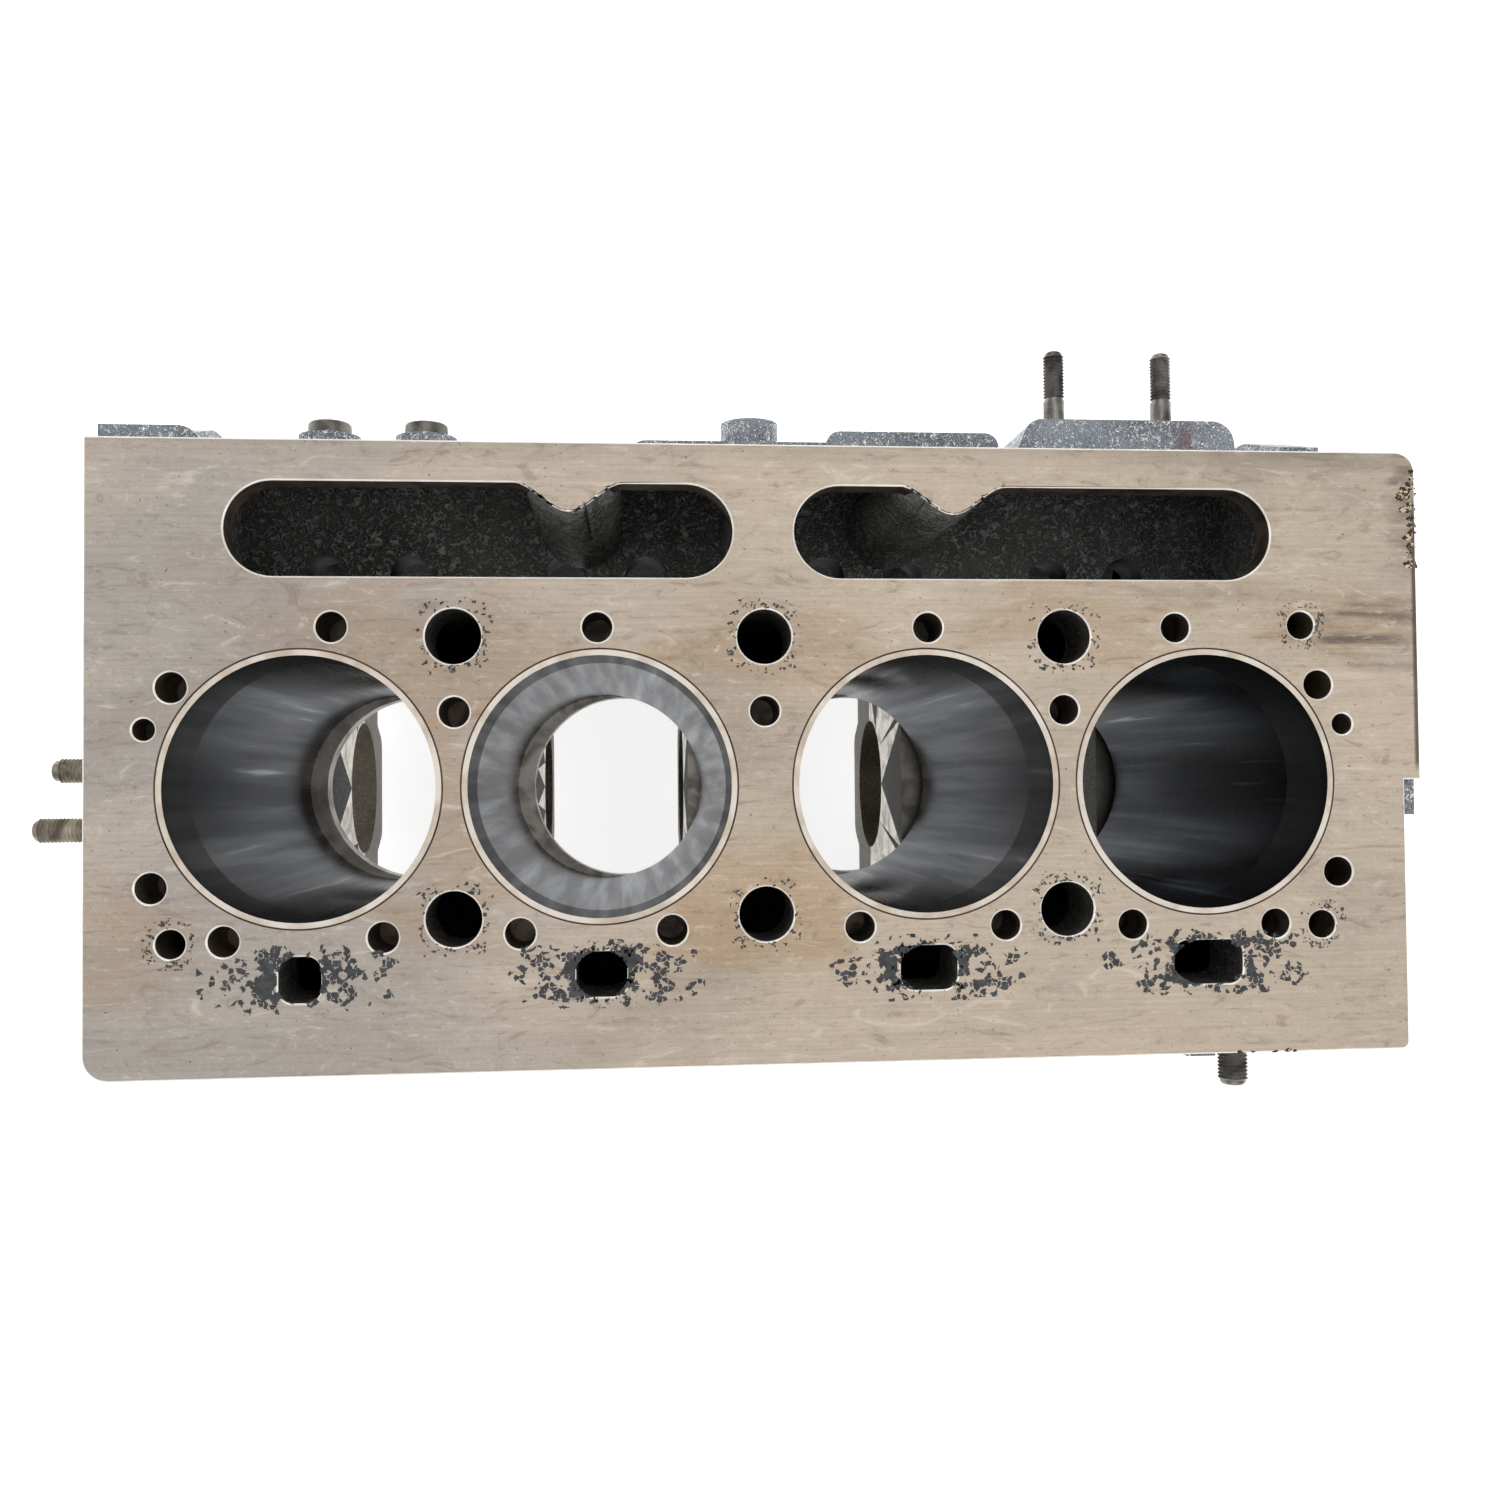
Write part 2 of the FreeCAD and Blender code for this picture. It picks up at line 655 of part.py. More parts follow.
def bearing_cap(front, rear):
    """Cap with a thick crown under the bearing and a land for a bolt at each side."""
    corners = [
        (-cap_half_width, 0, 0),
        (-cap_half_width, -cap_land_height, 0),
        (-cap_crown_half_width + 6, -cap_land_height, 0),
        (-cap_crown_half_width + 16, -cap_height, 10),
        (cap_crown_half_width - 16, -cap_height, 10),
        (cap_crown_half_width - 6, -cap_land_height, 0),
        (cap_half_width, -cap_land_height, 0),
        (cap_half_width, 0, 0),
    ]
    cap = prism(corners, "X", front, rear)
    x = (front + rear) / 2
    cuts = [rod("X", 0, 0, front - 1, rear + 1, main_bore_diameter)]
    for side in (-1, 1):
        y = side * cap_bolt_offset
        cuts.append(rod("Z", x, y, -cap_height, 1, cap_bolt_diameter + 2 * cap_bolt_clearance))
    return cap.cut(cuts)


def cap_bolt(x, y):
    """Hexagon bolt screwed up through the cap into the web."""
    shank = rod("Z", x, y, -cap_land_height, cap_bolt_reach - 2, cap_bolt_diameter)
    head = hexagon("Z", x, y, -cap_land_height - cap_bolt_head_height, -cap_land_height,
                   cap_bolt_across_flats)
    return union([shank, head])


def cap_bolts():
    bolts = []
    for front, rear in webs:
        x = (front + rear) / 2
        bolts += [cap_bolt(x, side * cap_bolt_offset) for side in (-1, 1)]
    return Part.makeCompound(bolts)


def side_plug(x):
    """Screwed plug with a round collared head."""
    head_top = plug_face_y + plug_head_height
    head = rod("Y", x, plug_z, plug_face_y, head_top, plug_head_diameter)
    thread = rod("Y", x, plug_z, plug_face_y - plug_thread_length, plug_face_y, plug_thread_diameter)
    socket = hexagon("Y", x, plug_z, plug_face_y + 1, head_top + 1, plug_socket_flats)
    return union([thread, head]).cut(socket)


def pump_stud(x):
    """Stud with a thinner tapped end in the pad, so that its shank seats on the pad's face."""
    tapped_end = rod("Y", x, pump_stud_z, pump_pad_y - stud_engagement, pump_pad_y,
                     pump_stud_tapped_diameter)
    shank = rod("Y", x, pump_stud_z, pump_pad_y, pump_stud_tip_y, pump_stud_diameter)
    return union([tapped_end, shank])


def core_plugs():
    """Pressed cup plugs in the side of the water jacket, open outwards."""
    rim = body_injection_y + core_plug_recess
    base = rim + core_plug_depth
    cups = []
    for x in bore_x:
        cup = rod("Y", x, core_plug_z, rim, base, core_plug_diameter)
        hollow = rod("Y", x, core_plug_z, rim - 1, base - core_plug_wall,
                     core_plug_diameter - 2 * core_plug_wall)
        cups.append(cup.cut(hollow))
    return Part.makeCompound(cups)


def camshaft_end_plug():
    """Dished disc pressed into the rear camshaft bore."""
    face = camshaft_plug_seat + camshaft_plug_thickness
    disc = rod("X", camshaft_y, camshaft_z, camshaft_plug_seat, face, camshaft_plug_diameter)
    dish = rod("X", camshaft_y, camshaft_z, face - camshaft_plug_dish, face + 1,
               camshaft_plug_diameter - 2 * camshaft_plug_rim)
    return disc.cut(dish)


def gallery_plugs():
    """Screwed plugs with a socket, flush in the two mouths of the oil gallery."""
    plugs = []
    for face, way in ((front_x, -1), (rear_x, 1)):
        plug = rod("X", gallery_y, gallery_z, face, face - way * gallery_plug_length, gallery_diameter)
        start, end = sorted((face - way * gallery_plug_socket_depth, face + way))
        plugs.append(plug.cut(hexagon("X", gallery_y, gallery_z, start, end, gallery_plug_flats)))
    return Part.makeCompound(plugs)


def drain_plug():
    """Water drain plug with a hexagon head."""
    face = body_injection_y
    shank = rod("Y", drain_x, drain_z, -jacket_injection_wall, face, drain_diameter)
    head = hexagon("Y", drain_x, drain_z, face - drain_head_height, face, drain_across_flats)
    return union([shank, head])


def write(name, shape):
    shape.exportStep("parts/" + name + ".step")


def main():
    os.makedirs("parts", exist_ok=True)
    write("cylinder_block", cylinder_block())
    for number, x in enumerate(bore_x, 1):
        write("cylinder_liner_%d" % number, cylinder_liner(x))
    for number, (front, rear) in enumerate(webs, 1):
        write("main_bearing_cap_%d" % number, bearing_cap(front, rear))
    write("main_cap_bolts", cap_bolts())
    write("core_plugs", core_plugs())
    for name, way in (("front", -1), ("rear", 1)):
        x = pump_pad_x + way * pump_stud_spacing / 2
        write("lift_pump_stud_" + name, pump_stud(x))
    write("front_stud_upper", rod("X", upper_front_stud_y, front_stud_z, front_stud_root,
                                  front_x - upper_front_stud_length, front_stud_diameter))
    write("front_stud_lower", rod("X", lower_front_stud_y, front_stud_z, front_stud_root,
                                  front_x - lower_front_stud_length, front_stud_diameter))
    write("side_stud", rod("Y", side_stud_x, side_stud_z, side_stud_root,
                           body_injection_y - side_stud_length, side_stud_diameter))
    for name, x in zip(("front", "rear"), plug_x):
        write("side_plug_" + name, side_plug(x))
    write("camshaft_end_plug", camshaft_end_plug())
    write("gallery_plugs", gallery_plugs())
    write("water_drain_plug", drain_plug())


main()
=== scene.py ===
import json
import math

import bmesh
import bpy
from bpy.props import FloatProperty, FloatVectorProperty, IntProperty, PointerProperty
from mathutils import Matrix, Vector, noise
from mathutils.bvhtree import BVHTree


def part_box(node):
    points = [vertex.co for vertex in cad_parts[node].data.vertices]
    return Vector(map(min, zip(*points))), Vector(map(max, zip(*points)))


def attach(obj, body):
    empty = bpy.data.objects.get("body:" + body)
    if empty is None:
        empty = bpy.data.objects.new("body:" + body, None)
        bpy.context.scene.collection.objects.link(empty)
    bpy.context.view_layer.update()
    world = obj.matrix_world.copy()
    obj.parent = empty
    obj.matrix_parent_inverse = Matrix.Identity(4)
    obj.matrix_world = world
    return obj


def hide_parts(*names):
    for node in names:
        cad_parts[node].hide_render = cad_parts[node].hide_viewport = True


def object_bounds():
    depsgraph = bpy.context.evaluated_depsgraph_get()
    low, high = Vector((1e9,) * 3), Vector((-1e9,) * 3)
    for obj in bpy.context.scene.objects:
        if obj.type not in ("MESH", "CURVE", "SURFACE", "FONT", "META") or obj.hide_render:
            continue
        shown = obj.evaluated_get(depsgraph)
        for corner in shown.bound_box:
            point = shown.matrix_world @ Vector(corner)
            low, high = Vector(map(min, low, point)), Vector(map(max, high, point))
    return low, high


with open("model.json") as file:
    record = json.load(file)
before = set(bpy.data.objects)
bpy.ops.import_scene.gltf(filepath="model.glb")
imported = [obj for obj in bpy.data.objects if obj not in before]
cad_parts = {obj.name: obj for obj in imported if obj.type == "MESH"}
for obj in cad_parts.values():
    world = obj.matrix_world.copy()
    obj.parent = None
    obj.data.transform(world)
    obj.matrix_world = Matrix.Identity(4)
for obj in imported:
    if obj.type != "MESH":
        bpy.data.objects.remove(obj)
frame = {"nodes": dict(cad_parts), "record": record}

bl_info = {
    "name": "Engine Block Dresser",
    "version": (1, 0, 0),
    "blender": (4, 5, 0),
    "location": "View3D > Sidebar > Engine Block",
    "description": "Dresses a four-cylinder engine block: casting, liners, studs, plugs and sealer flakes",
    "category": "Object",
}

MM = 0.001
NEAR = 0.01 * MM
SMOOTH = {"interpolation_type": "SMOOTHSTEP"}

CAD_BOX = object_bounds()
MOUNTS = {m["name"]: m for m in frame["record"]["mounts"]}
LINERS = ["cylinder_liner_%d" % i for i in (1, 2, 3, 4)]
LINER_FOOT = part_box(LINERS[0])[0].z
DECK_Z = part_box(LINERS[0])[1].z
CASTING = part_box("cylinder_block")
REAR_FACE = MOUNTS["back_plate_bolts_upper"]["pos_m"][0]
DECK_Y = [v.co.y for v in frame["nodes"]["cylinder_block"].data.vertices if v.co.z > DECK_Z - NEAR]
INJECTION_EDGE = min(DECK_Y)
CAMSHAFT_EDGE = max(DECK_Y)
REAR_EDGE = CAD_BOX[1][0]
# Depths under the deck: its plate over the slots, and the thick floor that the head studs screw into.
PLATE = 12.2 * MM
FIRE_DECK = 31.5 * MM
# The pushrod chambers stand over the camshaft, and the tappets run in the ledge under them.
CHAMBER_FLOOR = MOUNTS["camshaft_bore"]["pos_m"][2] + 56 * MM
CHAMBER_INNER = MOUNTS["camshaft_bore"]["pos_m"][1] - 25.5 * MM
TAPPET_LEDGE = 27 * MM
CAP_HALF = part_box("main_bearing_cap_1")[1].y + 2 * MM


def centre(node):
    low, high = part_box(node)
    return (low + high) / 2


BORE_X = [centre(n).x for n in LINERS]
LUMP_X = BORE_X[2] + 11.5 * MM


# ---- materials ----
def linear(code):
    """Linear colour of an sRGB hex value."""
    parts = [int(code[i:i + 2], 16) / 255 for i in (1, 3, 5)]
    return tuple(c / 12.92 if c <= 0.04045 else ((c + 0.055) / 1.055) ** 2.4 for c in parts) + (1.0,)


def add(tree, kind, inputs=(), **settings):
    """Adds a node with its settings. Its inputs come in order or by name, and each one is a value, a socket,
    or a node whose first output is linked."""
    made = tree.nodes.new(kind)
    for name, value in settings.items():
        setattr(made, name, value)
    for key, value in inputs.items() if isinstance(inputs, dict) else enumerate(inputs):
        if isinstance(value, bpy.types.Node):
            value = value.outputs[0]
        if isinstance(value, bpy.types.NodeSocket):
            tree.links.new(value, made.inputs[key])
        else:
            made.inputs[key].default_value = value
    return made


def new_finish(name):
    """A material with a surface shader joined to its output, and the object's own coordinates."""
    material = bpy.data.materials.new(name)
    material.use_nodes = True
    tree = material.node_tree
    tree.nodes.clear()
    shader = add(tree, "ShaderNodeBsdfPrincipled")
    add(tree, "ShaderNodeOutputMaterial", {"Surface": shader})
    place = add(tree, "ShaderNodeTexCoord").outputs["Object"]
    return material, tree, shader, place


def surface(tree, shader, base, metallic, roughness, relief, depth_mm, strength):
    """Gives the shader its colour, its metallic value, its roughness pattern and a relief."""
    bump = add(tree, "ShaderNodeBump", {"Height": relief, "Distance": depth_mm * MM, "Strength": strength})
    tree.links.new(bump.outputs[0], shader.inputs["Normal"])
    tree.links.new(base, shader.inputs["Base Color"])
    for name, value in (("Metallic", metallic), ("Roughness", roughness)):
        if isinstance(value, bpy.types.Node):
            tree.links.new(value.outputs[0], shader.inputs[name])
        else:
            shader.inputs[name].default_value = value


def spots(tree, place, size_mm, stretch=(1, 1, 1), detail=3.0, turn=0.0, distortion=0.0, rough=0.55):
    """Pattern of blots that are size_mm wide, drawn out along an axis by stretch."""
    scale = tuple(1 / (size_mm * MM * s) for s in stretch)
    mapped = add(tree, "ShaderNodeMapping", {"Vector": place, "Scale": scale, "Rotation": (0, 0, turn)})
    return add(tree, "ShaderNodeTexNoise", {"Vector": mapped, "Scale": 1.0, "Detail": detail,
                                            "Roughness": rough, "Distortion": distortion})


def coat(tree, base, colour, pattern, low=None, high=None, share=1.0):
    """Lays a colour over the base: none of it where the pattern is at low, and its full share at high.
    Without these levels the pattern is the share."""
    if low is not None:
        pattern = add(tree, "ShaderNodeMapRange", (pattern, low, high, 0.0, share), **SMOOTH)
    return add(tree, "ShaderNodeMix", {0: pattern, 6: base, 7: colour}, data_type="RGBA").outputs[2]


def off_middle(tree, pattern):
    """How far a pattern is from its middle level, which is zero along thin winding lines."""
    apart = add(tree, "ShaderNodeMath", (pattern, 0.5), operation="SUBTRACT")
    return add(tree, "ShaderNodeMath", (apart,), operation="ABSOLUTE")


def blot(tree, place, x, y, reach_x, reach_y, edge):
    """One soft blot round a place, whose edge is torn by a pattern."""
    scale = (1 / reach_x, 1 / reach_y, 1.0)
    offset = (-x * scale[0], -y * scale[1], 0.0)
    mapped = add(tree, "ShaderNodeMapping", {"Vector": place, "Location": offset, "Scale": scale})
    flat = add(tree, "ShaderNodeVectorMath", (mapped, (1, 1, 0)), operation="MULTIPLY")
    far = add(tree, "ShaderNodeVectorMath", (flat,), operation="LENGTH").outputs["Value"]
    torn = add(tree, "ShaderNodeMath", (far, edge), operation="ADD")
    return add(tree, "ShaderNodeMapRange", (torn, 1.25, 0.35), **SMOOTH)


def milled_deck():
    """Cast iron, face milled and then oxidised: matt beige with milling streaks, oil stains and fine pits."""
    made, tree, shader, place = new_finish("face-milled cast iron, oxidised")
    x, y, _ = add(tree, "ShaderNodeSeparateXYZ", (place,)).outputs
    broad = spots(tree, place, 70, (1.6, 1, 1), 5.0, distortion=0.6)
    swirl = spots(tree, place, 9, (3.0, 1, 1), 8.0, distortion=2.2, rough=0.7)
    mottle = spots(tree, place, 2.2, detail=6.0, rough=0.75)
    pits = spots(tree, place, 1.5, detail=1.0)
    # Milling lines are 0.3 mm apart on the real face, and drawn 1.2 mm apart so that they show.
    lines = spots(tree, place, 1.2, (60, 1, 1), 3.0)
    # Hair scratches are drawn 0.4 mm wide, broader than the real ones, so that they show.
    hair = off_middle(tree, spots(tree, place, 2.6, (16, 1, 1), 6.0, turn=0.12, distortion=0.9, rough=0.7))
    torn = spots(tree, place, 26, (2.2, 1, 1), 6.0, distortion=1.2)
    ragged = add(tree, "ShaderNodeMapRange", (torn, 0.3, 0.7, -0.45, 0.45), **SMOOTH)
    metal = tuple(bpy.context.scene.deck_look.metal) + (1.0,)
    base = coat(tree, linear("#A69F98"), metal, x, -0.20, 0.02)
    base = coat(tree, base, linear("#C6B5A2"), broad, 0.45, 0.70, 0.55)
    base = coat(tree, base, linear("#94887C"), broad, 0.48, 0.28, 0.6)
    base = oil_stains(tree, place, base, ragged)
    base = soot_runs(tree, place, base, ragged)
    base = coat(tree, base, linear("#6F6459"), lines, 0.72, 0.30, 0.16)
    base = coat(tree, base, linear("#7C6E5F"), swirl, 0.54, 0.66, 0.42)
    base = coat(tree, base, linear("#D2C7B8"), swirl, 0.44, 0.33, 0.45)
    base = coat(tree, base, linear("#6A5C4E"), hair, 0.010, 0.0, 0.35)
    base = coat(tree, base, linear("#857869"), mottle, 0.56, 0.70, 0.35)
    base = coat(tree, base, linear("#CFC5B6"), mottle, 0.44, 0.32, 0.35)
    base = coat(tree, base, linear("#4E453D"), pits, 0.735, 0.80, 0.75)
    base = dark_edge_bands(tree, x, y, base, ragged)
    rough = add(tree, "ShaderNodeMapRange", (swirl, 0.3, 0.7, 0.50, 0.68), **SMOOTH)
    relief = add(tree, "ShaderNodeMath", (lines, pits), operation="ADD")
    relief = add(tree, "ShaderNodeMath", (relief, mottle), operation="ADD")
    surface(tree, shader, base, 0.15, rough, relief, 0.10, 0.5)
    return made


def oil_stains(tree, place, base, ragged):
    """Warm stains between and beside the bores."""
    stain = tuple(bpy.context.scene.deck_look.stain) + (1.0,)
    first, second, third, fourth = BORE_X
    for x, y, reach_x, reach_y in (
            (second - 0.055, 0.048, 0.085, 0.030), (second + 0.052, -0.045, 0.045, 0.022),
            (0.004, 0.050, 0.055, 0.024), (second - 0.058, -0.020, 0.030, 0.050),
            (fourth + 0.052, 0.062, 0.055, 0.018), (third + 0.055, 0.060, 0.050, 0.020),
            (0.0, -0.050, 0.040, 0.020), (first - 0.062, -0.052, 0.040, 0.024)):
        here = blot(tree, place, x, y, reach_x, reach_y, ragged)
        base = coat(tree, base, stain, add(tree, "ShaderNodeMath", (here, 0.34), operation="MULTIPLY"))
    return base


def soot_runs(tree, place, base, ragged):
    """Dark streaks that run in from the rear edge."""
    streaks = spots(tree, place, 5, (14, 1, 1), 5.0, distortion=0.5)
    runs = add(tree, "ShaderNodeMapRange", (streaks, 0.30, 0.66), **SMOOTH)
    for inwards, y, reach_x, reach_y, share in (
            (0.022, 0.061, 0.050, 0.010, 0.8), (0.012, 0.050, 0.045, 0.009, 0.7),
            (0.004, 0.100, 0.012, 0.030, 0.7), (0.045, 0.072, 0.075, 0.006, 0.3)):
        here = blot(tree, place, REAR_EDGE - inwards, y, reach_x, reach_y, ragged)
        soot = add(tree, "ShaderNodeMath", (here, runs), operation="MULTIPLY")
        cover = add(tree, "ShaderNodeMath", (soot, share), operation="MULTIPLY")
        base = coat(tree, base, linear("#4A4038"), cover)
    return base


def dark_edge_bands(tree, x, y, base, ragged):
    """A darker band along the camshaft edge, strongest towards the rear, and down the rear edge a dark line
    that is painted shade of the edge's chamfer.
    """
    shift = add(tree, "ShaderNodeMath", (ragged, 4 * MM), operation="MULTIPLY")
    torn_y = add(tree, "ShaderNodeMath", (y, shift), operation="ADD")
    band = (torn_y, CAMSHAFT_EDGE - 9 * MM, CAMSHAFT_EDGE, 0, 0.45)
    along = add(tree, "ShaderNodeMapRange", (x, 0.10, 0.20, 0.35, 1.0), **SMOOTH)
    camshaft_edge_band = add(tree, "ShaderNodeMath", (add(tree, "ShaderNodeMapRange", band, **SMOOTH), along),
                operation="MULTIPLY")
    base = coat(tree, base, linear("#6B635C"), camshaft_edge_band)
    # Painted shade: a dark line down the rear edge stands in for the shade on the edge's chamfer.
    start = add(tree, "ShaderNodeMapRange", (y, 0.002, 0.008), **SMOOTH)
    end = add(tree, "ShaderNodeMapRange", (torn_y, 0.118, 0.100), **SMOOTH)
    run = add(tree, "ShaderNodeMath", (start, end), operation="MULTIPLY")
    edge = add(tree, "ShaderNodeMapRange", (x, REAR_EDGE - 2.8 * MM, REAR_EDGE - 1.6 * MM, 0, 0.85), **SMOOTH)
    return coat(tree, base, linear("#3A3029"), add(tree, "ShaderNodeMath", (edge, run), operation="MULTIPLY"))


def sand_cast(name, colour, ridge, pit, metallic, roughness, size_mm=2.2, depth_mm=0.35, share=0.6,
              marked=False):
    """Rough iron straight from a sand mould: curled ridges and pits that break up the highlight."""
    made, tree, shader, place = new_finish(name)
    field = spots(tree, place, size_mm, detail=2.0, distortion=1.6)
    curl = add(tree, "ShaderNodeMapRange", (off_middle(tree, field), 0.075, 0.0), **SMOOTH)
    grain = spots(tree, place, 0.9, detail=4.0)
    broad = spots(tree, place, 40, detail=3.0)
    base = coat(tree, linear(colour), linear(pit), broad, 0.3, 0.7, 0.6)
    # The curls take the ridge colour, lighter than the base: painted highlights on the raised curls, near white
    # on the silver skin.
    base = coat(tree, base, linear(ridge), add(tree, "ShaderNodeMath", (curl, share), operation="MULTIPLY"))
    base = coat(tree, base, linear(pit), grain, 0.60, 0.70, 0.8)
    if marked:
        base = paint_mark(tree, place, base)
    rough = add(tree, "ShaderNodeMapRange", (grain, 0.3, 0.7, roughness - 0.08, roughness + 0.1), **SMOOTH)
    relief = add(tree, "ShaderNodeMath", (curl, grain), operation="ADD")
    surface(tree, shader, base, metallic, rough, relief, depth_mm, 0.9)
    return made


def paint_mark(tree, place, base):
    """Faint reddish blot on top of the pump pad, beside the rear stud."""
    x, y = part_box("lift_pump_stud_rear")[1].x - 6 * MM, 144 * MM
    bare_z, full_z = 280 * MM, 288 * MM
    here = blot(tree, place, x, y, 4.5 * MM, 14 * MM, 0.0)
    z = add(tree, "ShaderNodeSeparateXYZ", (place,)).outputs[2]
    on_top = add(tree, "ShaderNodeMapRange", (z, bare_z, full_z, 0, 0.6), **SMOOTH)
    cover = add(tree, "ShaderNodeMath", (here, on_top), operation="MULTIPLY")
    return coat(tree, base, linear("#7D5258"), cover)


def machined(name, colour, dark, metallic, roughness):
    """Cut or ground iron or steel: tool marks 0.6 mm wide, with darker oil film in patches."""
    made, tree, shader, place = new_finish(name)
    film = spots(tree, place, 14, detail=4.0, distortion=0.8)
    marks = spots(tree, place, 0.6, (1, 1, 14), 3.0)
    base = coat(tree, linear(colour), linear(dark), film, 0.35, 0.7)
    base = coat(tree, base, linear(dark), marks, 0.7, 0.35, 0.25)
    rough = add(tree, "ShaderNodeMapRange", (film, 0.3, 0.7, roughness - 0.06, roughness + 0.08), **SMOOTH)
    surface(tree, shader, base, metallic, rough, marks, 0.03, 0.4)
    return made


def honed_liner():
    """Centrifugally cast iron liner: bore polished grey-blue by the rings, above it the duller unworn band,
    on top a cream oxidised edge."""
    made, tree, shader, place = new_finish("honed cast iron liner, worn")
    normal = add(tree, "ShaderNodeNewGeometry").outputs["Normal"]
    up = add(tree, "ShaderNodeSeparateXYZ", (normal,)).outputs[2]
    z = add(tree, "ShaderNodeSeparateXYZ", (place,)).outputs[2]
    top = add(tree, "ShaderNodeMapRange", (up, 0.6, 0.95), **SMOOTH)
    # Streaks run down the bore: darker wear streaks, and bluish-white painted highlight streaks for the lamps
    # reflected in the polished wall; the real ones are 2 to 8 mm wide.
    wear_and_highlight_streaks = spots(tree, place, 7, (1, 1, 26), 3.0, rough=0.5)
    film = spots(tree, place, 30, (1, 1, 3), 3.0)
    # Honing marks are about 0.1 mm apart, and drawn at 0.7 mm.
    marks = spots(tree, place, 0.7, (30, 30, 1), 3.0)
    bore = coat(tree, linear("#37393D"), linear("#222326"), wear_and_highlight_streaks, 0.38, 0.66)
    bore = coat(tree, bore, linear("#4A433B"), film, 0.5, 0.7, 0.5)
    # Painted highlight: bluish-white along the streaks.
    bore = coat(tree, bore, linear("#C3CDD9"), wear_and_highlight_streaks, 0.37, 0.24, 0.6)
    bore = coat(tree, bore, linear("#8A8D92"), marks, 0.45, 0.75, 0.12)
    # The top ring turned 33 mm below the deck, and the gasket's edge left a dark band at the mouth.
    ring_low, ring_high = DECK_Z - 34.5 * MM, DECK_Z - 32.5 * MM
    bore = coat(tree, bore, linear("#77736F"), z, ring_low, ring_high, 0.30)
    bore = coat(tree, bore, linear("#3A3735"), z, DECK_Z - 6.5 * MM, DECK_Z - 3.5 * MM, 0.55)
    edge = coat(tree, linear("#D9D1C6"), linear("#BDAE9C"), spots(tree, place, 12, detail=5.0), 0.35, 0.7)
    metallic = add(tree, "ShaderNodeMapRange", (top, 0, 1, 1.0, 0.2), **SMOOTH)
    rough = add(tree, "ShaderNodeMapRange", (wear_and_highlight_streaks, 0.3, 0.7, 0.20, 0.30), **SMOOTH)
    unworn = add(tree, "ShaderNodeMapRange", (z, ring_low, ring_high, 0, 0.14), **SMOOTH)
    rough = add(tree, "ShaderNodeMath", (rough, unworn), operation="ADD")
    dull_top = add(tree, "ShaderNodeMath", (top, 0.3), operation="MULTIPLY")
    rough = add(tree, "ShaderNodeMath", (rough, dull_top), operation="ADD")
    surface(tree, shader, coat(tree, bore, edge, top), metallic, rough, marks, 0.012, 0.2)
    # Soot and oil in the honing marks keep the bore dark when seen along its wall.
    shader.inputs["Specular Tint"].default_value = linear("#D1D3D6")
    return made


def sealer():
    """Flakes of old gasket sealer and engine paint: matt, dark and slightly uneven."""
    made, tree, shader, place = new_finish("dried gasket sealer")
    uneven = spots(tree, place, 3, detail=3.0)
    base = coat(tree, linear("#2C2D2E"), linear("#424345"), uneven, 0.35, 0.7)
    surface(tree, shader, base, 0.0, 0.7, uneven, 0.08, 0.5)
    return made


def fracture():
    """Broken cast iron: coarse grain, bright cream where it is also a painted highlight on the broken faces,
    with dirt and rust in the hollows.
    """
    made, tree, shader, place = new_finish("fractured cast iron, dirty")
    grain = spots(tree, place, 1.8, detail=5.0, distortion=0.8)
    # The cream grain is the broken iron's own brightness and a painted highlight.
    base = coat(tree, linear("#2C231C"), linear("#D2BC9A"), grain, 0.50, 0.60)
    surface(tree, shader, base, 0.0, 0.8, grain, 0.4, 0.8)
    return made


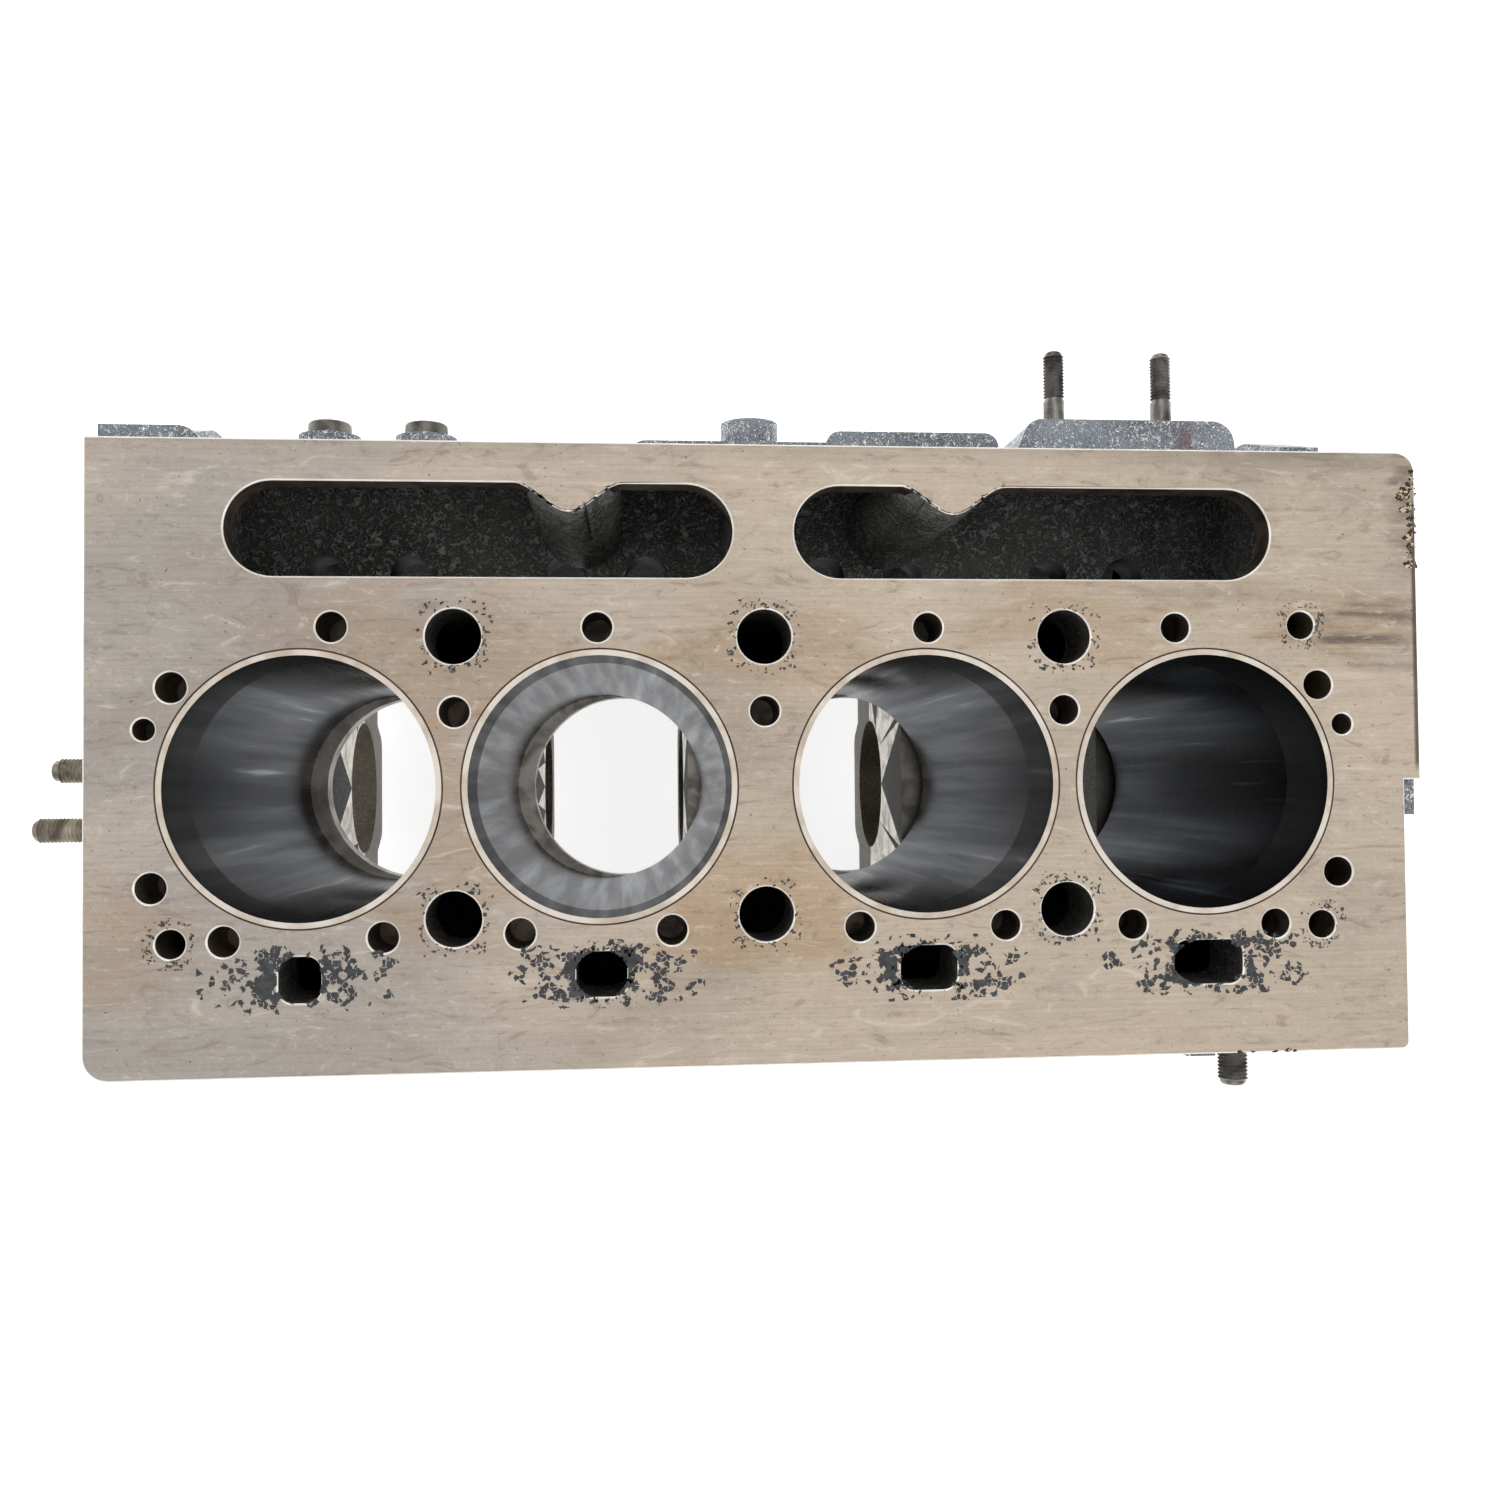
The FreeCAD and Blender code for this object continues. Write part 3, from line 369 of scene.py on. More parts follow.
FINISHES = {}
MAKERS = {
    "deck": milled_deck,
    # Outside faces: silver paint over sand curls, set light and with near-white curls as painted highlight for
    # their blue-white sparkle.
    "skin": lambda: sand_cast("sand-cast iron, silver paint", "#8F98A3", "#FFFFFF", "#1C1F22", 0.5, 0.32,
                              3.4, 0.8, 1.0, marked=True),
    # Faces left by the cores: dull, brown-grey and oiled, with pale curls on the chamber walls.
    "core": lambda: sand_cast("sand-cast iron, oiled core face", "#45433F", "#6D6A65", "#22201E", 0.15, 0.5,
                              4.2, 1.2, 0.75),
    "chamber": lambda: sand_cast("sand-cast iron, oily chamber wall", "#8A8984", "#DCDCD8", "#3A3937", 0.1,
                                 0.45, 6.0, 1.8, 0.95),
    "cap": lambda: sand_cast("sand-cast iron, oiled", "#A3988A", "#D2C8B9", "#575048", 0.35, 0.45),
    # Cut faces: from black, painted shade that keeps the tappet bores dark, to bright, where bearings and
    # gaskets sat.
    "hollow": lambda: machined("bored cast iron, black painted shade", "#0B0A0A", "#050505", 0.0, 0.6),
    "bearing": lambda: machined("line-bored cast iron, bright", "#D8D0C3", "#8C8378", 1.0, 0.24),
    "cut": lambda: machined("bored cast iron", "#A09A92", "#7C766E", 0.9, 0.36),
    "drilled": lambda: machined("drilled cast iron, brown oil film", "#6B5D50", "#2C2520", 0.5, 0.5),
    # Hole rims: near white, a painted highlight on the chamfer round every hole.
    "rim": lambda: machined("cast iron edge, painted highlight", "#FFFCF6", "#E8E0D4", 0.1, 0.3),
    # Fittings: grey steel with a brown film, nearly black on the oxidised bolts.
    "stud": lambda: machined("rolled steel stud, oiled", "#A09C97", "#3A3633", 0.85, 0.34),
    "stud_light": lambda: machined("rolled steel stud, dull", "#D8CFC1", "#766D61", 0.6, 0.4),
    "plug": lambda: machined("dull zinc-plated steel, oily", "#77736C", "#3B3834", 0.7, 0.4),
    "black": lambda: machined("black oxide steel", "#3A3837", "#191817", 0.8, 0.42),
    "joint": lambda: machined("rust and oil in the liner joint", "#4B3526", "#241810", 0.0, 0.8),
    "liner": honed_liner,
    "sealer": sealer,
    "fracture": fracture,
}


def finish(key):
    """The material of that key, made the first time that it is asked for."""
    if key not in FINISHES:
        FINISHES[key] = MAKERS[key]()
    return FINISHES[key]


# ---- mesh helpers ----
def object_from(mesh, name):
    """An object for a finished bmesh."""
    data = bpy.data.meshes.new(name)
    mesh.to_mesh(data)
    mesh.free()
    made = bpy.data.objects.new(name, data)
    bpy.context.scene.collection.objects.link(made)
    return made


def piece_from(mesh, name, materials, slot, *stands_for):
    """A piece for a finished bmesh, riding on the block, with its finish and the nodes that it stands for."""
    made = object_from(mesh, name)
    for material in materials:
        made.data.materials.append(material)
    return settle(made, slot, *stands_for)


def settle(made, slot, *stands_for):
    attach(made, "root")
    if stands_for:
        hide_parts(*stands_for)
    return made


def applied(made):
    """Turns an object's modifiers into its plain mesh."""
    bpy.context.view_layer.update()
    graph = bpy.context.evaluated_depsgraph_get()
    result = bpy.data.meshes.new_from_object(made.evaluated_get(graph))
    made.modifiers.clear()
    old = made.data
    made.data = result
    result.name = made.name
    bpy.data.meshes.remove(old)
    return made


def lathe(mesh, axis_point, axis, profile, steps=48):
    """Closed turned shape from (radius, distance along the axis) points; the first and last have radius 0."""
    axis = Vector(axis).normalized()
    side = axis.orthogonal().normalized()
    other = axis.cross(side)
    rings = []
    for radius, along in profile:
        foot = Vector(axis_point) + axis * along
        if radius < 1e-7:
            rings.append([mesh.verts.new(foot)])
            continue
        rings.append([mesh.verts.new(foot + side * (radius * math.cos(t)) + other * (radius * math.sin(t)))
                      for t in (2 * math.pi * k / steps for k in range(steps))])
    for low, high in zip(rings, rings[1:]):
        for k in range(steps):
            a, b = low[k % len(low)], low[(k + 1) % len(low)]
            c, d = high[(k + 1) % len(high)], high[k % len(high)]
            corners = [v for i, v in enumerate((a, b, c, d)) if v not in (a, b, c, d)[:i]]
            mesh.faces.new(corners).smooth = True


def rim_loops(mesh):
    """Edge loops where the flat deck meets anything else, as lists of edges."""
    def on_deck(face):
        return face.normal.z > 0.99 and min(v.co.z for v in face.verts) > DECK_Z - NEAR
    pairs = [(e, e.link_faces) for e in mesh.edges if len(e.link_faces) == 2]
    rim = [e for e, faces in pairs if on_deck(faces[0]) != on_deck(faces[1])]
    at = {}
    for edge in rim:
        for v in edge.verts:
            at.setdefault(v, []).append(edge)
    loops, left = [], set(rim)
    while left:
        queue, loop = [left.pop()], []
        while queue:
            edge = queue.pop()
            loop.append(edge)
            for v in edge.verts:
                for other in at[v]:
                    if other in left:
                        left.discard(other)
                        queue.append(other)
        loops.append(loop)
    return loops


def loop_shape(loop):
    """Middle and half sizes of a rim loop."""
    points = [v.co for e in loop for v in e.verts]
    low = Vector((min(p.x for p in points), min(p.y for p in points), DECK_Z))
    high = Vector((max(p.x for p in points), max(p.y for p in points), DECK_Z))
    return (low + high) / 2, (high - low) / 2


def merged_copy(node):
    mesh = bmesh.new()
    mesh.from_mesh(frame["nodes"][node].data)
    bmesh.ops.remove_doubles(mesh, verts=mesh.verts, dist=2e-6)
    mesh.normal_update()
    shade(mesh)
    return mesh


def shade(mesh):
    """Sharp edges where faces meet steeply, smooth ones elsewhere."""
    for face in mesh.faces:
        face.smooth = True
    for edge in mesh.edges:
        edge.smooth = len(edge.link_faces) == 2 and edge.calc_face_angle(0) < math.radians(28)
    mesh.normal_update()


def rough_lump(mesh, where, half, seed):
    """Closed lump with an uneven skin."""
    made = bmesh.ops.create_icosphere(mesh, subdivisions=2, radius=1.0)["verts"]
    for v in made:
        swell = 1 + 0.45 * noise.noise(v.co * 1.7 + Vector((seed * 3.1, 0, 0)))
        v.co = Vector(where) + Vector([v.co[i] * half[i] * swell for i in range(3)])
    for face in {f for v in made for f in v.link_faces}:
        face.smooth = False


def wave_lump(mesh, middle_x, edge_y, depth=10.7 * MM, half=21 * MM, step=1.5 * MM):
    """Gives the lump in a slot's edge a smooth wave, with hollows beside it and a rounded tip."""
    def wave(x):
        t = min(abs(x - middle_x) / half, 1.0)
        return edge_y - depth * 0.5 * (1 + math.cos(math.pi * t))

    def near(v, slack=0.0):
        in_plate = v.co.z > DECK_Z - PLATE
        beside = edge_y - depth - 2 * MM < v.co.y < edge_y + 2 * MM
        return in_plate and beside and abs(v.co.x - middle_x) < half + slack
    count = int(half / step)
    for k in range(-count, count + 1):
        faces = {f for v in mesh.verts if near(v, 4 * MM) for f in v.link_faces}
        edges = {e for f in faces for e in f.edges}
        corners = {v for f in faces for v in f.verts}
        geom = list(faces) + list(edges) + list(corners)
        bmesh.ops.bisect_plane(mesh, geom=geom, plane_co=(middle_x + k * step, 0, 0), plane_no=(1, 0, 0),
                               dist=1e-6)
    for v in [v for v in mesh.verts if near(v)]:
        if any(abs(f.normal.z) < 0.5 for f in v.link_faces):
            if v.co.y < edge_y + NEAR:
                v.co.y = wave(v.co.x)
        else:
            v.co.y = max(v.co.y, wave(v.co.x) + 0.3 * MM)
    mesh.normal_update()
    shade(mesh)


def is_slot(half):
    """Whether a rim of these half sizes is one of the two long slots."""
    return 60 * MM < half.x < 120 * MM


def is_bore(half):
    """Whether a rim of these half sizes is the mouth of a liner's hole."""
    return 45 * MM < half.x < 60 * MM and abs(half.x - half.y) < MM


def deck_holes():
    """Rim shapes of the holes in the deck, from the casting itself, without the deck's outline."""
    mesh = merged_copy("cylinder_block")
    shapes = [loop_shape(loop) for loop in rim_loops(mesh)]
    mesh.free()
    return [(where, half) for where, half in shapes if half.x < 120 * MM]


# ---- settings ----
class DeckLook(bpy.types.PropertyGroup):
    """Colours and edges of the milled top of the block."""
    metal: FloatVectorProperty(name="Metal", description="Colour of the oxidised milled face",
                               subtype="COLOR", size=3, min=0, max=1, default=linear("#B9AA98")[:3])
    stain: FloatVectorProperty(name="Oil stain", description="Colour of the warm oil stains", subtype="COLOR",
                               size=3, min=0, max=1, default=linear("#A5835A")[:3])
    chamfer: FloatProperty(name="Edge break", description="Width of the broken edge round every hole",
                           subtype="DISTANCE", unit="LENGTH", default=0.6 * MM, min=0.1 * MM, max=2 * MM)
    chips: IntProperty(name="Chips", description="Broken places along the rear edge", default=15, min=0,
                       max=40)


class StudLook(bpy.types.PropertyGroup):
    """Thread of the studs."""
    pitch: FloatProperty(name="Pitch", description="Distance from one thread to the next", subtype="DISTANCE",
                         unit="LENGTH", default=1.5 * MM, min=0.5 * MM, max=3 * MM)
    depth: FloatProperty(name="Depth", description="Depth of the thread", subtype="DISTANCE", unit="LENGTH",
                         default=0.8 * MM, min=0.2 * MM, max=2 * MM)


class FlakeLook(bpy.types.PropertyGroup):
    """Old sealer round the water holes."""
    size: FloatProperty(name="Size", description="Width of a flake beside the windows", subtype="DISTANCE",
                        unit="LENGTH", default=2.2 * MM, min=0.2 * MM, max=6 * MM)
    cover: FloatProperty(name="Cover", description="How much sealer is left", subtype="FACTOR", default=1.0,
                         min=0, max=3)
    seed: IntProperty(name="Seed", description="Another scatter of flakes", default=7, min=0, max=1000)


class StageLook(bpy.types.PropertyGroup):
    """Floor and lamps."""
    floor: FloatVectorProperty(name="Floor", description="Colour of the floor", subtype="COLOR", size=3,
                               min=0, max=1, default=(0.8, 0.8, 0.8))
    lamp: FloatProperty(name="Lamp", description="Power of the large overhead lamp", subtype="POWER",
                        unit="POWER", default=31.0, min=0, max=2000)


# ---- pieces ----
class BLOCK_OT_casting(bpy.types.Operator):
    """Make the dressed casting with its broken edges and finishes"""
    bl_idname = "engine_block.casting"
    bl_label = "Casting"

    def execute(self, context):
        look = context.scene.deck_look
        mesh = merged_copy("cylinder_block")
        for where, half in [loop_shape(loop) for loop in rim_loops(mesh)]:
            if is_slot(half):
                wave_lump(mesh, math.copysign(LUMP_X, where.x), where.y + half.y)
        weight = mesh.edges.layers.float.new("bevel_weight_edge")
        keys = ["deck", "skin", "core", "chamber", "cut", "bearing", "drilled", "hollow", "rim"]
        slots = {key: i for i, key in enumerate(keys)}
        loops = rim_loops(mesh)
        shapes = [loop_shape(loop) for loop in loops]
        tree = BVHTree.FromBMesh(mesh)
        for face in mesh.faces:
            face.material_index = slots[self.finish_of(face, tree, shapes)]
        for loop, (_, half) in zip(loops, shapes):
            if is_bore(half):
                continue
            for edge in loop:
                edge.smooth = False
                edge[weight] = 1.0
        made = piece_from(mesh, "block_casting", [finish(k) for k in keys], "block_iron", "cylinder_block")
        bevel = made.modifiers.new("edge break", "BEVEL")
        bevel.limit_method = "WEIGHT"
        bevel.offset_type = "OFFSET"
        bevel.width = look.chamfer
        bevel.segments = 1
        # The chamfer faces take the rim finish, whose near white is a painted highlight.
        bevel.material = slots["rim"]
        bevel.loop_slide = False
        bevel.use_clamp_overlap = False
        applied(made)
        return {"FINISHED"}

    def finish_of(self, face, tree, shapes):
        """Which finish a face of the casting has, from where it lies and which way it looks."""
        middle = face.calc_center_median()
        across = abs(face.normal.x)
        if face.normal.z > 0.99 and middle.z > DECK_Z - NEAR:
            return "deck"
        if across > 0.999 and (middle.x < CASTING[0].x + NEAR or middle.x > REAR_FACE - NEAR):
            return "cut"
        if face.normal.z < -0.999 and middle.z < CASTING[0].z + NEAR:
            return "cut"
        for name in ("main_bearing_bore", "camshaft_bore"):
            mount = MOUNTS[name]
            away = math.hypot(middle.y - mount["pos_m"][1], middle.z - mount["pos_m"][2])
            if abs(away - mount["dims"]["r_mm"] * MM) < 0.3 * MM and across < 0.01:
                return "bearing"
        if across > 0.99 and abs(middle.y) < CAP_HALF and middle.z < CAP_HALF:
            return "bearing"
        from_bore = min(math.hypot(middle.x - x, middle.y) for x in BORE_X)
        if LINER_FOOT - 14 * MM < middle.z < LINER_FOOT + MM and from_bore < 58 * MM:
            return "cut"
        for name in ("lift_pump_studs", "engine_mounting_front", "engine_mounting_rear"):
            if abs(face.normal.y) > 0.999 and abs(middle.y - MOUNTS[name]["pos_m"][1]) < NEAR:
                return "cut"
        start = middle + face.normal * 0.1 * MM
        if any(tree.ray_cast(start, Vector((0, way, 0)))[0] is None for way in (-1, 1)):
            return "skin"
        if middle.z > DECK_Z - FIRE_DECK:
            for where, half in shapes:
                inside = abs(middle.x - where.x) < half.x * 1.02 and abs(middle.y - where.y) < half.y * 1.05
                if inside and half.x < 6.5 * MM:
                    return "drilled"
                if inside and is_slot(half) and middle.z > DECK_Z - PLATE and abs(face.normal.z) < 0.5:
                    return "drilled"
        if middle.y > CHAMBER_INNER and middle.z > CHAMBER_FLOOR - 0.5 * MM:
            return "chamber"
        # The tappet ledge under the chamber is painted black as shade, so that the tappet bores stay dark.
        if middle.y > CHAMBER_INNER and middle.z > CHAMBER_FLOOR - TAPPET_LEDGE:
            return "hollow"
        return "core"


class BLOCK_OT_breaks(bpy.types.Operator):
    """Roughen the deck's edge at the rear and beside the side stud, where bits of iron have broken away"""
    bl_idname = "engine_block.breaks"
    bl_label = "Broken edges"

    def execute(self, context):
        mesh = bmesh.new()
        for k in range(context.scene.deck_look.chips):
            share = noise.noise(Vector((k * 1.37, 4.2, 0)))
            wide = (3.6 + 4.2 * share) * MM
            where = (REAR_EDGE - wide * 0.9, 0.1225 - k * 0.0027 + 0.0015 * share, DECK_Z - 1.1 * MM)
            rough_lump(mesh, where, (wide, (2.2 + 1.6 * share) * MM, 1.5 * MM), k)
        stud_x = centre("side_stud").x
        for k, (dx, size) in enumerate(((-10, 1.2), (-5, 0.8), (4, 1.1), (9, 1.6), (12, 0.9))):
            where = (stud_x + dx * MM, INJECTION_EDGE + size * 0.55 * MM, DECK_Z - 1.0 * MM)
            rough_lump(mesh, where, (size * 1.6 * MM, size * 0.8 * MM, 1.2 * MM), k + 40)
        piece_from(mesh, "edge_breaks", [finish("fracture")], "block_iron")
        return {"FINISHED"}


class BLOCK_OT_liners(bpy.types.Operator):
    """Give the liners, caps, bolts and hidden plugs their finishes, and mark the liner joints"""
    bl_idname = "engine_block.liners"
    bl_label = "Liners and caps"

    def execute(self, context):
        keys = {"cylinder_liner": "liner", "main_bearing_cap": "cap", "main_cap_bolts": "black",
                "core_plugs": "plug", "camshaft_end_plug": "plug", "gallery_plugs": "plug",
                "water_drain_plug": "plug"}
        for node, item in frame["nodes"].items():
            for start, key in keys.items():
                if node.startswith(start):
                    item.data.materials.clear()
                    item.data.materials.append(finish(key))
        mesh = bmesh.new()
        for node in LINERS:
            low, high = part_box(node)
            radius = (high.x - low.x) / 2
            ring(mesh, centre(node), radius - 0.30 * MM, radius + 0.35 * MM, DECK_Z + 0.03 * MM)
        piece_from(mesh, "liner_joint_lines", [finish("joint")], "block_iron")
        return {"FINISHED"}


def ring(mesh, middle, inner, outer, z, steps=128):
    """Flat ring facing up."""
    layers = [[mesh.verts.new((middle.x + r * math.cos(t), middle.y + r * math.sin(t), z))
               for t in (2 * math.pi * k / steps for k in range(steps))] for r in (inner, outer)]
    for k in range(steps):
        n = (k + 1) % steps
        mesh.faces.new((layers[0][k], layers[1][k], layers[1][n], layers[0][n]))


def new_tree(name, inputs):
    """Geometry Nodes group with geometry in and out and the given inputs, and the sockets that give them."""
    tree = bpy.data.node_groups.new(name, "GeometryNodeTree")
    tree.interface.new_socket("Geometry", in_out="OUTPUT", socket_type="NodeSocketGeometry")
    for title, kind in (("Geometry", "Geometry"),) + inputs:
        tree.interface.new_socket(title, in_out="INPUT", socket_type="NodeSocket" + kind)
    return tree, add(tree, "NodeGroupInput").outputs


def thread_tree():
    """Geometry Nodes that add a rolled thread, one ridge for each turn, to the shank that comes in."""
    tree, given = new_tree("rolled thread", (
        ("Radius", "Float"), ("Depth", "Float"), ("Pitch", "Float"), ("Length", "Float"), ("Start", "Vector"),
        ("Turn", "Vector"), ("Finish", "Material")))
    half = add(tree, "ShaderNodeMath", (given["Pitch"], 0.5), operation="MULTIPLY")
    root = add(tree, "ShaderNodeMath", (given["Radius"], given["Depth"]), operation="SUBTRACT")
    sides = {"Vertices": 40, "Side Segments": 1, "Depth": half}
    lower = add(tree, "GeometryNodeMeshCone", {**sides, "Radius Top": given["Radius"], "Radius Bottom": root},
                fill_type="NONE")
    upper = add(tree, "GeometryNodeMeshCone", {**sides, "Radius Top": root, "Radius Bottom": given["Radius"]},
                fill_type="NONE")
    rise = add(tree, "ShaderNodeCombineXYZ", {2: half})
    lifted = add(tree, "GeometryNodeTransform", {"Geometry": upper, "Translation": rise})
    ridge = add(tree, "GeometryNodeJoinGeometry")
    tree.links.new(lower.outputs[0], ridge.inputs[0])
    tree.links.new(lifted.outputs[0], ridge.inputs[0])
    step = add(tree, "ShaderNodeCombineXYZ", {2: given["Pitch"]})
    share = add(tree, "ShaderNodeMath", (given["Length"], given["Pitch"]), operation="DIVIDE")
    turns = add(tree, "ShaderNodeMath", (share,), operation="FLOOR")
    line = add(tree, "GeometryNodeMeshLine", {"Count": turns, "Offset": step}, mode="OFFSET")
    turned = add(tree, "GeometryNodeInstanceOnPoints", {"Points": line, "Instance": ridge})
    real = add(tree, "GeometryNodeRealizeInstances", {"Geometry": turned})
    placed = add(tree, "GeometryNodeTransform", {"Geometry": real, "Translation": given["Start"],
                                                 "Rotation": given["Turn"]})
    both = add(tree, "GeometryNodeJoinGeometry")
    tree.links.new(placed.outputs[0], both.inputs[0])
    tree.links.new(given["Geometry"], both.inputs[0])
    coated = add(tree, "GeometryNodeSetMaterial", {"Geometry": both, "Material": given["Finish"]})
    add(tree, "NodeGroupOutput", {0: coated})
    return tree


def run_tree(made, tree, values):
    """Puts a tree on an object with its inputs set by name, and keeps the plain result."""
    modifier = made.modifiers.new(tree.name, "NODES")
    modifier.node_group = tree
    for socket in tree.interface.items_tree:
        if socket.in_out == "INPUT" and socket.name in values:
            modifier[socket.identifier] = values[socket.name]
    return applied(made)


def threaded_stud(name, node, axis, shank_share, key, slot, tree):
    """A stud with a plain shank, a rolled thread and a chamfered, slightly domed tip."""
    look = bpy.context.scene.stud_look
    low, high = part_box(node)
    axis = Vector(axis)
    reach = (high - low).dot(Vector([abs(c) for c in axis]))
    radius = min((high - low)[i] for i in range(3)) / 2
    middle = (low + high) / 2
    foot = middle - axis * (reach / 2)
    root = radius - look.depth
    start = reach * shank_share
    mesh = bmesh.new()
    lathe(mesh, foot, axis, [(0, 0), (radius, 0), (radius, start - radius * 0.25), (root, start),
                             (root, reach - 1.2 * MM), (root - 0.8 * MM, reach - 0.25 * MM),
                             (root - 1.4 * MM, reach), (0, reach)])
    made = object_from(mesh, name)
    turn = Vector((0, 0, 1)).rotation_difference(axis).to_euler()
    run_tree(made, tree, {"Radius": radius, "Depth": look.depth, "Pitch": look.pitch,
                          "Length": reach - start - 1.5 * MM, "Start": foot + axis * (start + 0.2 * MM),
                          "Turn": turn, "Finish": finish(key)})
    return settle(made, slot, node)


class BLOCK_OT_studs(bpy.types.Operator):
    """Make the studs with rolled threads"""
    bl_idname = "engine_block.studs"
    bl_label = "Studs"

    def execute(self, context):
        tree = thread_tree()
        dark, light = ("stud", "dark_stud_steel"), ("stud_light", "light_stud_steel")
        for name, node, axis, shank_share, (key, slot) in (
                ("pump_stud_front", "lift_pump_stud_front", (0, 1, 0), 0.62, dark),
                ("pump_stud_rear", "lift_pump_stud_rear", (0, 1, 0), 0.62, dark),
                ("case_stud_upper", "front_stud_upper", (-1, 0, 0), 0.30, light),
                ("case_stud_lower", "front_stud_lower", (-1, 0, 0), 0.30, light),
                ("stop_stud", "side_stud", (0, -1, 0), 0.34, dark)):
            threaded_stud(name, node, axis, shank_share, key, slot, tree)
        return {"FINISHED"}


class BLOCK_OT_plugs(bpy.types.Operator):
    """Make the two screwed plugs of the camshaft side"""
    bl_idname = "engine_block.plugs"
    bl_label = "Side plugs"

    def execute(self, context):
        for name, node in (("oilway_plug_front", "side_plug_front"), ("oilway_plug_rear", "side_plug_rear")):
            low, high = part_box(node)
            middle = centre(node)
            seat = high.y - 3.8 * MM - low.y
            top = high.y + 2.0 * MM - low.y
            wide = (high.x - low.x) / 2 + 1.2 * MM
            mesh = bmesh.new()
            lathe(mesh, (middle.x, low.y, middle.z), (0, 1, 0), [
                (0, 0), (6 * MM, 0), (6 * MM, seat), (wide, seat), (wide, seat + 1.2 * MM),
                (wide - 0.7 * MM, seat + 1.6 * MM), (wide - 0.9 * MM, top - 0.7 * MM), (wide - 1.6 * MM, top),
                (4.2 * MM, top), (4.0 * MM, top - 2.6 * MM), (0, top - 2.6 * MM)])
            piece_from(mesh, name, [finish("plug")], "plug_steel", node)
        return {"FINISHED"}


def flake_tree():
    """Geometry Nodes that leave ragged chips of sealer standing where the attribute "cover" is high."""
    tree, given = new_tree("sealer flakes", (
        ("Cover", "Float"), ("Size", "Float"), ("Seed", "Int"), ("Finish", "Material")))
    cover = add(tree, "GeometryNodeInputNamedAttribute", {"Name": "cover"}, data_type="FLOAT")
    spot = add(tree, "GeometryNodeInputPosition")
    push = add(tree, "ShaderNodeCombineXYZ", (given["Seed"], given["Seed"]))
    moved = add(tree, "ShaderNodeVectorMath", (spot, push), operation="ADD")
    wobble = add(tree, "ShaderNodeTexNoise", {"Vector": moved, "Scale": 420.0, "Detail": 2.0})
    middle = (0.5, 0.5, 0.5)
    shift = add(tree, "ShaderNodeVectorMath", (wobble.outputs["Color"], middle), operation="SUBTRACT")
    pull = add(tree, "ShaderNodeVectorMath", {0: shift, "Scale": 2.8 * MM}, operation="SCALE")
    torn = add(tree, "ShaderNodeVectorMath", (moved, pull), operation="ADD")
    finer = add(tree, "ShaderNodeMath", (1.0, given["Size"]), operation="DIVIDE")
    cell = {"Vector": torn, "Scale": finer, "Randomness": 1.0}
    cells = add(tree, "ShaderNodeTexVoronoi", cell, feature="F1", voronoi_dimensions="2D").outputs["Color"]
    cracks = add(tree, "ShaderNodeTexVoronoi", cell, feature="DISTANCE_TO_EDGE", voronoi_dimensions="2D")
    luck = add(tree, "ShaderNodeSeparateXYZ", (cells,)).outputs
    patch = add(tree, "ShaderNodeTexNoise", {"Vector": moved, "Scale": 110.0, "Detail": 2.0})
    lean = add(tree, "ShaderNodeMapRange", (patch, 0.35, 0.65, -0.30, 0.30), **SMOOTH)
    chance = add(tree, "ShaderNodeMath", (cover, lean), operation="ADD")
    chance = add(tree, "ShaderNodeMath", (chance, given["Cover"]), operation="MULTIPLY")
    here = add(tree, "ShaderNodeMath", (luck[0], chance), operation="LESS_THAN")
    gap = add(tree, "ShaderNodeMapRange", (chance, 0.55, 0.95, 0.16, 0.0), **SMOOTH)
    crack = add(tree, "ShaderNodeMath", (gap, luck[1]), operation="MULTIPLY")
    apart = add(tree, "ShaderNodeMath", (cracks.outputs["Distance"], crack), operation="GREATER_THAN")
    left = add(tree, "ShaderNodeMath", (here, apart), operation="MULTIPLY")
    bare = add(tree, "ShaderNodeMath", (1.0, left), operation="SUBTRACT")
    chips = add(tree, "GeometryNodeDeleteGeometry", {"Geometry": given["Geometry"], "Selection": bare},
                domain="FACE")
    real = add(tree, "GeometryNodeRealizeInstances", {"Geometry": chips})
    coated = add(tree, "GeometryNodeSetMaterial", {"Geometry": real, "Material": given["Finish"]})
    add(tree, "NodeGroupOutput", {0: coated})
    return tree


def patch_round(mesh, layer, where, half, reach, belt, z, cell=0.35 * MM):
    """Ground for flakes: a grid round a hole, whose cover is 1 at the hole or in a ring further out, as belt
    says, and 0 outside."""
    across = int(2 * (half.x + reach[0]) / cell) + 1
    up = int(2 * (half.y + reach[1]) / cell) + 1
    grid = {}
    for i in range(across + 1):
        for j in range(up + 1):
            dx = -half.x - reach[0] + i * cell
            dy = -half.y - reach[1] + j * cell
            hole = math.hypot(dx / half.x, dy / half.y)
            out = math.hypot(max(abs(dx) - half.x * 0.7, 0) / (reach[0] + half.x * 0.3),
                             max(abs(dy) - half.y * 0.7, 0) / (reach[1] + half.y * 0.3))
            if hole < 1.015 or out > 1:
                continue
            v = mesh.verts.new((where.x + dx, where.y + dy, z))
            v[layer] = max(0.0, 1 - abs(out - belt) / (1 - belt)) if out > belt else 1 - (belt - out) * 2
            grid[i, j] = v
    for i, j in list(grid):
        corners = [grid.get(key) for key in ((i, j), (i + 1, j), (i + 1, j + 1), (i, j + 1))]
        if all(corners):
            mesh.faces.new(corners)


